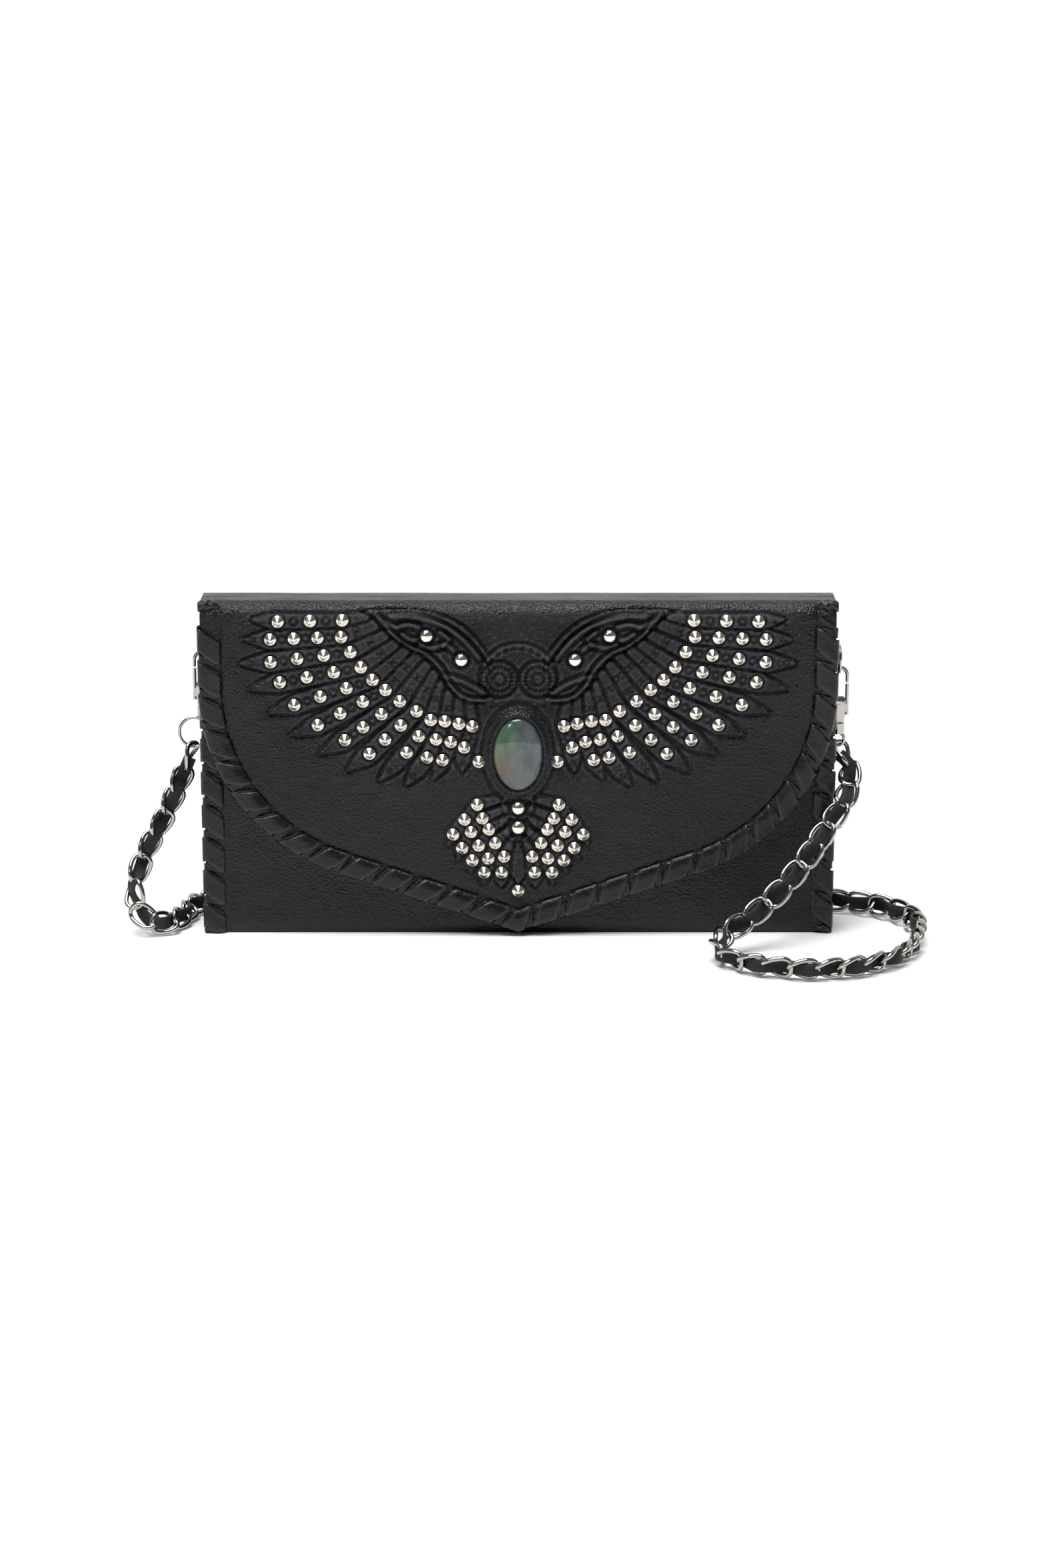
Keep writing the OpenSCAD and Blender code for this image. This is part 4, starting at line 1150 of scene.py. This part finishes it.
def soft_box(name, low, high, material, slot, seed=1, stands_for=(), rounding=1.2):
    """Soft sheet in place of a flat block: rounded rim and slight unevenness on both faces."""
    low, high = np.asarray(low, float), np.asarray(high, float)
    thin = int(np.argmin(high - low))
    first, second = [axis for axis in range(3) if axis != thin]
    counts = [4 * max(2, int((high[axis] - low[axis]) / BOX_CELL) + 1) + 1 for axis in (first, second)]
    grid_u, grid_v = np.meshgrid(np.linspace(low[first], high[first], counts[0]),
                                 np.linspace(low[second], high[second], counts[1]))
    middle, half = (low[thin] + high[thin]) / 2, (high[thin] - low[thin]) / 2
    rim = np.minimum.reduce([grid_u - low[first], high[first] - grid_u,
                             grid_v - low[second], high[second] - grid_v])
    part = np.sqrt(np.clip(1 - (1 - np.clip(rim / rounding, 0, 1)) ** 2, 0.2, 1))
    uneven = BOX_WAVES * smooth_noise(grid_u, grid_v, 55, seed) * np.clip(rim / 8, 0, 1) * half
    faces = []
    for sign in (-1, 1):
        grid = np.zeros(grid_u.shape + (3,))
        grid[..., first], grid[..., second] = grid_u, grid_v
        grid[..., thin] = middle + sign * half * part * 0.97 + uneven
        faces.append(grid)
    if thin != 1:
        faces.reverse()
    settle(thick_sheet(name, *faces, INNER_STEP, material), "wallet", slot, *stands_for)


def add_body_parts():
    """Panels, linings, pockets and pouch walls as soft sheets."""
    leathers = ("front_panel", "base_panel", "card_pocket_1", "card_pocket_2", "card_pocket_3")
    suedes = ("back_lining", "front_lining", "pouch_front", "pouch_back")
    for k, name in enumerate(leathers):
        soft_box(name + "_soft", *node_box(name), TOOLED, "tooled_leather", 31 + k, [name])
    for k, name in enumerate(suedes):
        soft_box(name + "_soft", *node_box(name), LINING, "lining_suede", 51 + k, [name])
    low, high = node_box("pouch_gusset")
    front, back = node_box("pouch_front")[1][1], node_box("pouch_back")[0][1]
    middle, base = (front + back) / 2, node_box("pouch_front")[0][2]
    walls = (("pouch_floor", (low[0], front, base), (high[0], back, base + 1), ["pouch_gusset"]),
             ("pouch_tongue", (low[0] + 10, middle - 0.5, low[2]), (high[0] - 10, middle + 0.5, base), []),
             ("pouch_end_left", (low[0], front, base + 1), (low[0] + 1, back, high[2]), []),
             ("pouch_end_right", (high[0] - 1, front, base + 1), (high[0], back, high[2]), []))
    for name, a, b, stands_for in walls:
        soft_box(name, a, b, LINING, "lining_suede", 1, stands_for, 0.6)


def add_gusset(side, label):
    """Side wall folded inwards, with a soft crease."""
    low, high = node_box("gusset_" + label)
    inner_x, outer_x = sorted(abs(value) for value in (low[0], high[0]))
    t = np.linspace(-1, 1, 33)
    bend = (inner_x + 0.55) + (outer_x - 1.1 - inner_x) * (np.sqrt(t ** 2 + 0.02) - 0.14) / 0.87
    y = (low[1] + high[1]) / 2 + t * (high[1] - low[1]) / 2
    sheets = []
    for offset in (0.5, -0.5):
        rows = []
        for z in np.linspace(low[2], high[2], 25):
            sway = 0.25 * math.sin(z / 11 + side) * (1 - t ** 2)
            x = side * np.clip(bend + sway + offset, inner_x, outer_x)
            rows.append(np.column_stack([x, y, np.full(len(t), z)]))
        # The left side is a mirror image, so its points run the other way
        sheets.append(np.array(rows)[:, ::side])
    piece = thick_sheet("gusset_soft_" + label, *sheets, INNER_STEP, TOOLED)
    settle(piece, "wallet", "tooled_leather", "gusset_" + label)


def add_flap_lining():
    """Suede behind the flap."""
    low, high = node_box("flap_lining")
    grid_x, z = outline_grid(np.linspace(low[0], high[0], 121), 61, 0.8, high[2])
    outer = np.dstack([grid_x, np.full(z.shape, low[1] + 0.05), z])
    inner = np.dstack([grid_x, high[1] - 0.08 + 0.08 * smooth_noise(grid_x, z, 30, 71), z])
    piece = thick_sheet("flap_lining_soft", outer, inner, INNER_STEP, LINING)
    settle(piece, "flap", "lining_suede", "flap_lining")


def add_ring_tab(side, label):
    """Leather strap looped round the rear of the strap ring."""
    low, high = node_box("ring_tab_" + label)
    ring_low, ring_high = node_box("ring_" + label)
    ring_x = (abs(ring_low[0]) + abs(ring_high[0])) / 2
    ring_y = ring_high[1] - 0.75
    inner_x = min(abs(low[0]), abs(high[0]))
    around = [(-3, 1.55), (0, 1.5), (1.06, 1.06), (1.5, 0), (1.06, -1.06), (0, -1.5), (-1.3, -0.9),
              (-3.2, 0.6)]
    route = [(inner_x, high[1] - 0.6), (inner_x + 8, high[1] - 0.7)]
    route += [(ring_x + x, ring_y + y) for x, y in around]
    path = catmull(route, 5)
    heading = unit(np.gradient(path, axis=0))
    section = [(0.4 * math.cos(a) if abs(math.sin(a)) > 0.2 else 0.3 * math.copysign(1, math.cos(a)),
                1.45 * math.sin(a)) for a in np.linspace(0, 2 * math.pi, 15)[:-1]]
    middle = (low[2] + high[2]) / 2
    points = [(side * (x + hy * off), y - hx * off, middle + up)
              for (x, y), (hx, hy) in zip(path, heading) for off, up in section]
    piece = make_object("ring_strap_" + label, points, tube_faces(len(section), len(path)), LACE)
    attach(piece, "wallet")
    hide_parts("ring_tab_" + label)


def add_soft_parts():
    """Everything but the strap and its clasps."""
    add_flap_skin()
    add_back_skin()
    add_flap_lining()
    add_body_parts()
    for side, label in SIDES:
        add_gusset(side, label)
        add_ring_tab(side, label)
    add_all_lacing()
    add_studs()
    add_stone()


# ---- assembly ----

add_camera()
add_light()
add_floor()

BLACK = (0.0009, 0.0008, 0.0018)
DEEP_BLUE = (0.0023, 0.002, 0.0042)
SATIN = (0.26, 0.44)
# The edge setting paints convex edges paler: partly rubbed wear, partly painted highlight.
TOOLED = leather("tooled_leather", BLACK, DEEP_BLUE, SATIN, depth=0.0003, edge_wear_and_highlight=0.2, spec=0.33)
CARVED = leather("carved_leather", BLACK, DEEP_BLUE, SATIN, depth=0.0003, edge_wear_and_highlight=0.9, spec=0.33, worked=True)
LACE = leather("lace_leather", (0.0014, 0.0013, 0.0018), (0.0036, 0.0034, 0.0046), (0.2, 0.34), grain=1700.0,
               depth=0.00005, edge_wear_and_highlight=0.8, spec=0.3)
RIBBON = leather("ribbon_leather", (0.004, 0.004, 0.0045), (0.009, 0.0085, 0.0095), (0.5, 0.7), grain=1500.0)
NICKEL = nickel("strap_nickel", (0.41, 0.393, 0.368), rough=(0.07, 0.16))
STUD = nickel("stud_nickel", (0.8, 0.755, 0.685), rough=(0.12, 0.22))
ZIP = nickel("zip_steel", (0.62, 0.6, 0.57), rough=(0.2, 0.35))
LINING = suede("lining_suede", (0.006, 0.0055, 0.005), (0.015, 0.0135, 0.012))
STONE = stone_material("stone_polished")


SLOT_LOOKS = {"tooled_leather": TOOLED, "lace_leather": LACE, "lining_suede": LINING, "strap_ribbon": RIBBON,
              "strap_hardware": NICKEL, "stud_metal": STUD, "zip_metal": ZIP, "stone": STONE}
for part in frame["record"]["subparts"]:
    for material_slot in frame["nodes"][part["node"]].material_slots:
        material_slot.material = SLOT_LOOKS[part["material_slot"]]

add_strap(NICKEL, RIBBON, [add_clasp("left"), add_clasp("right")])
add_soft_parts()
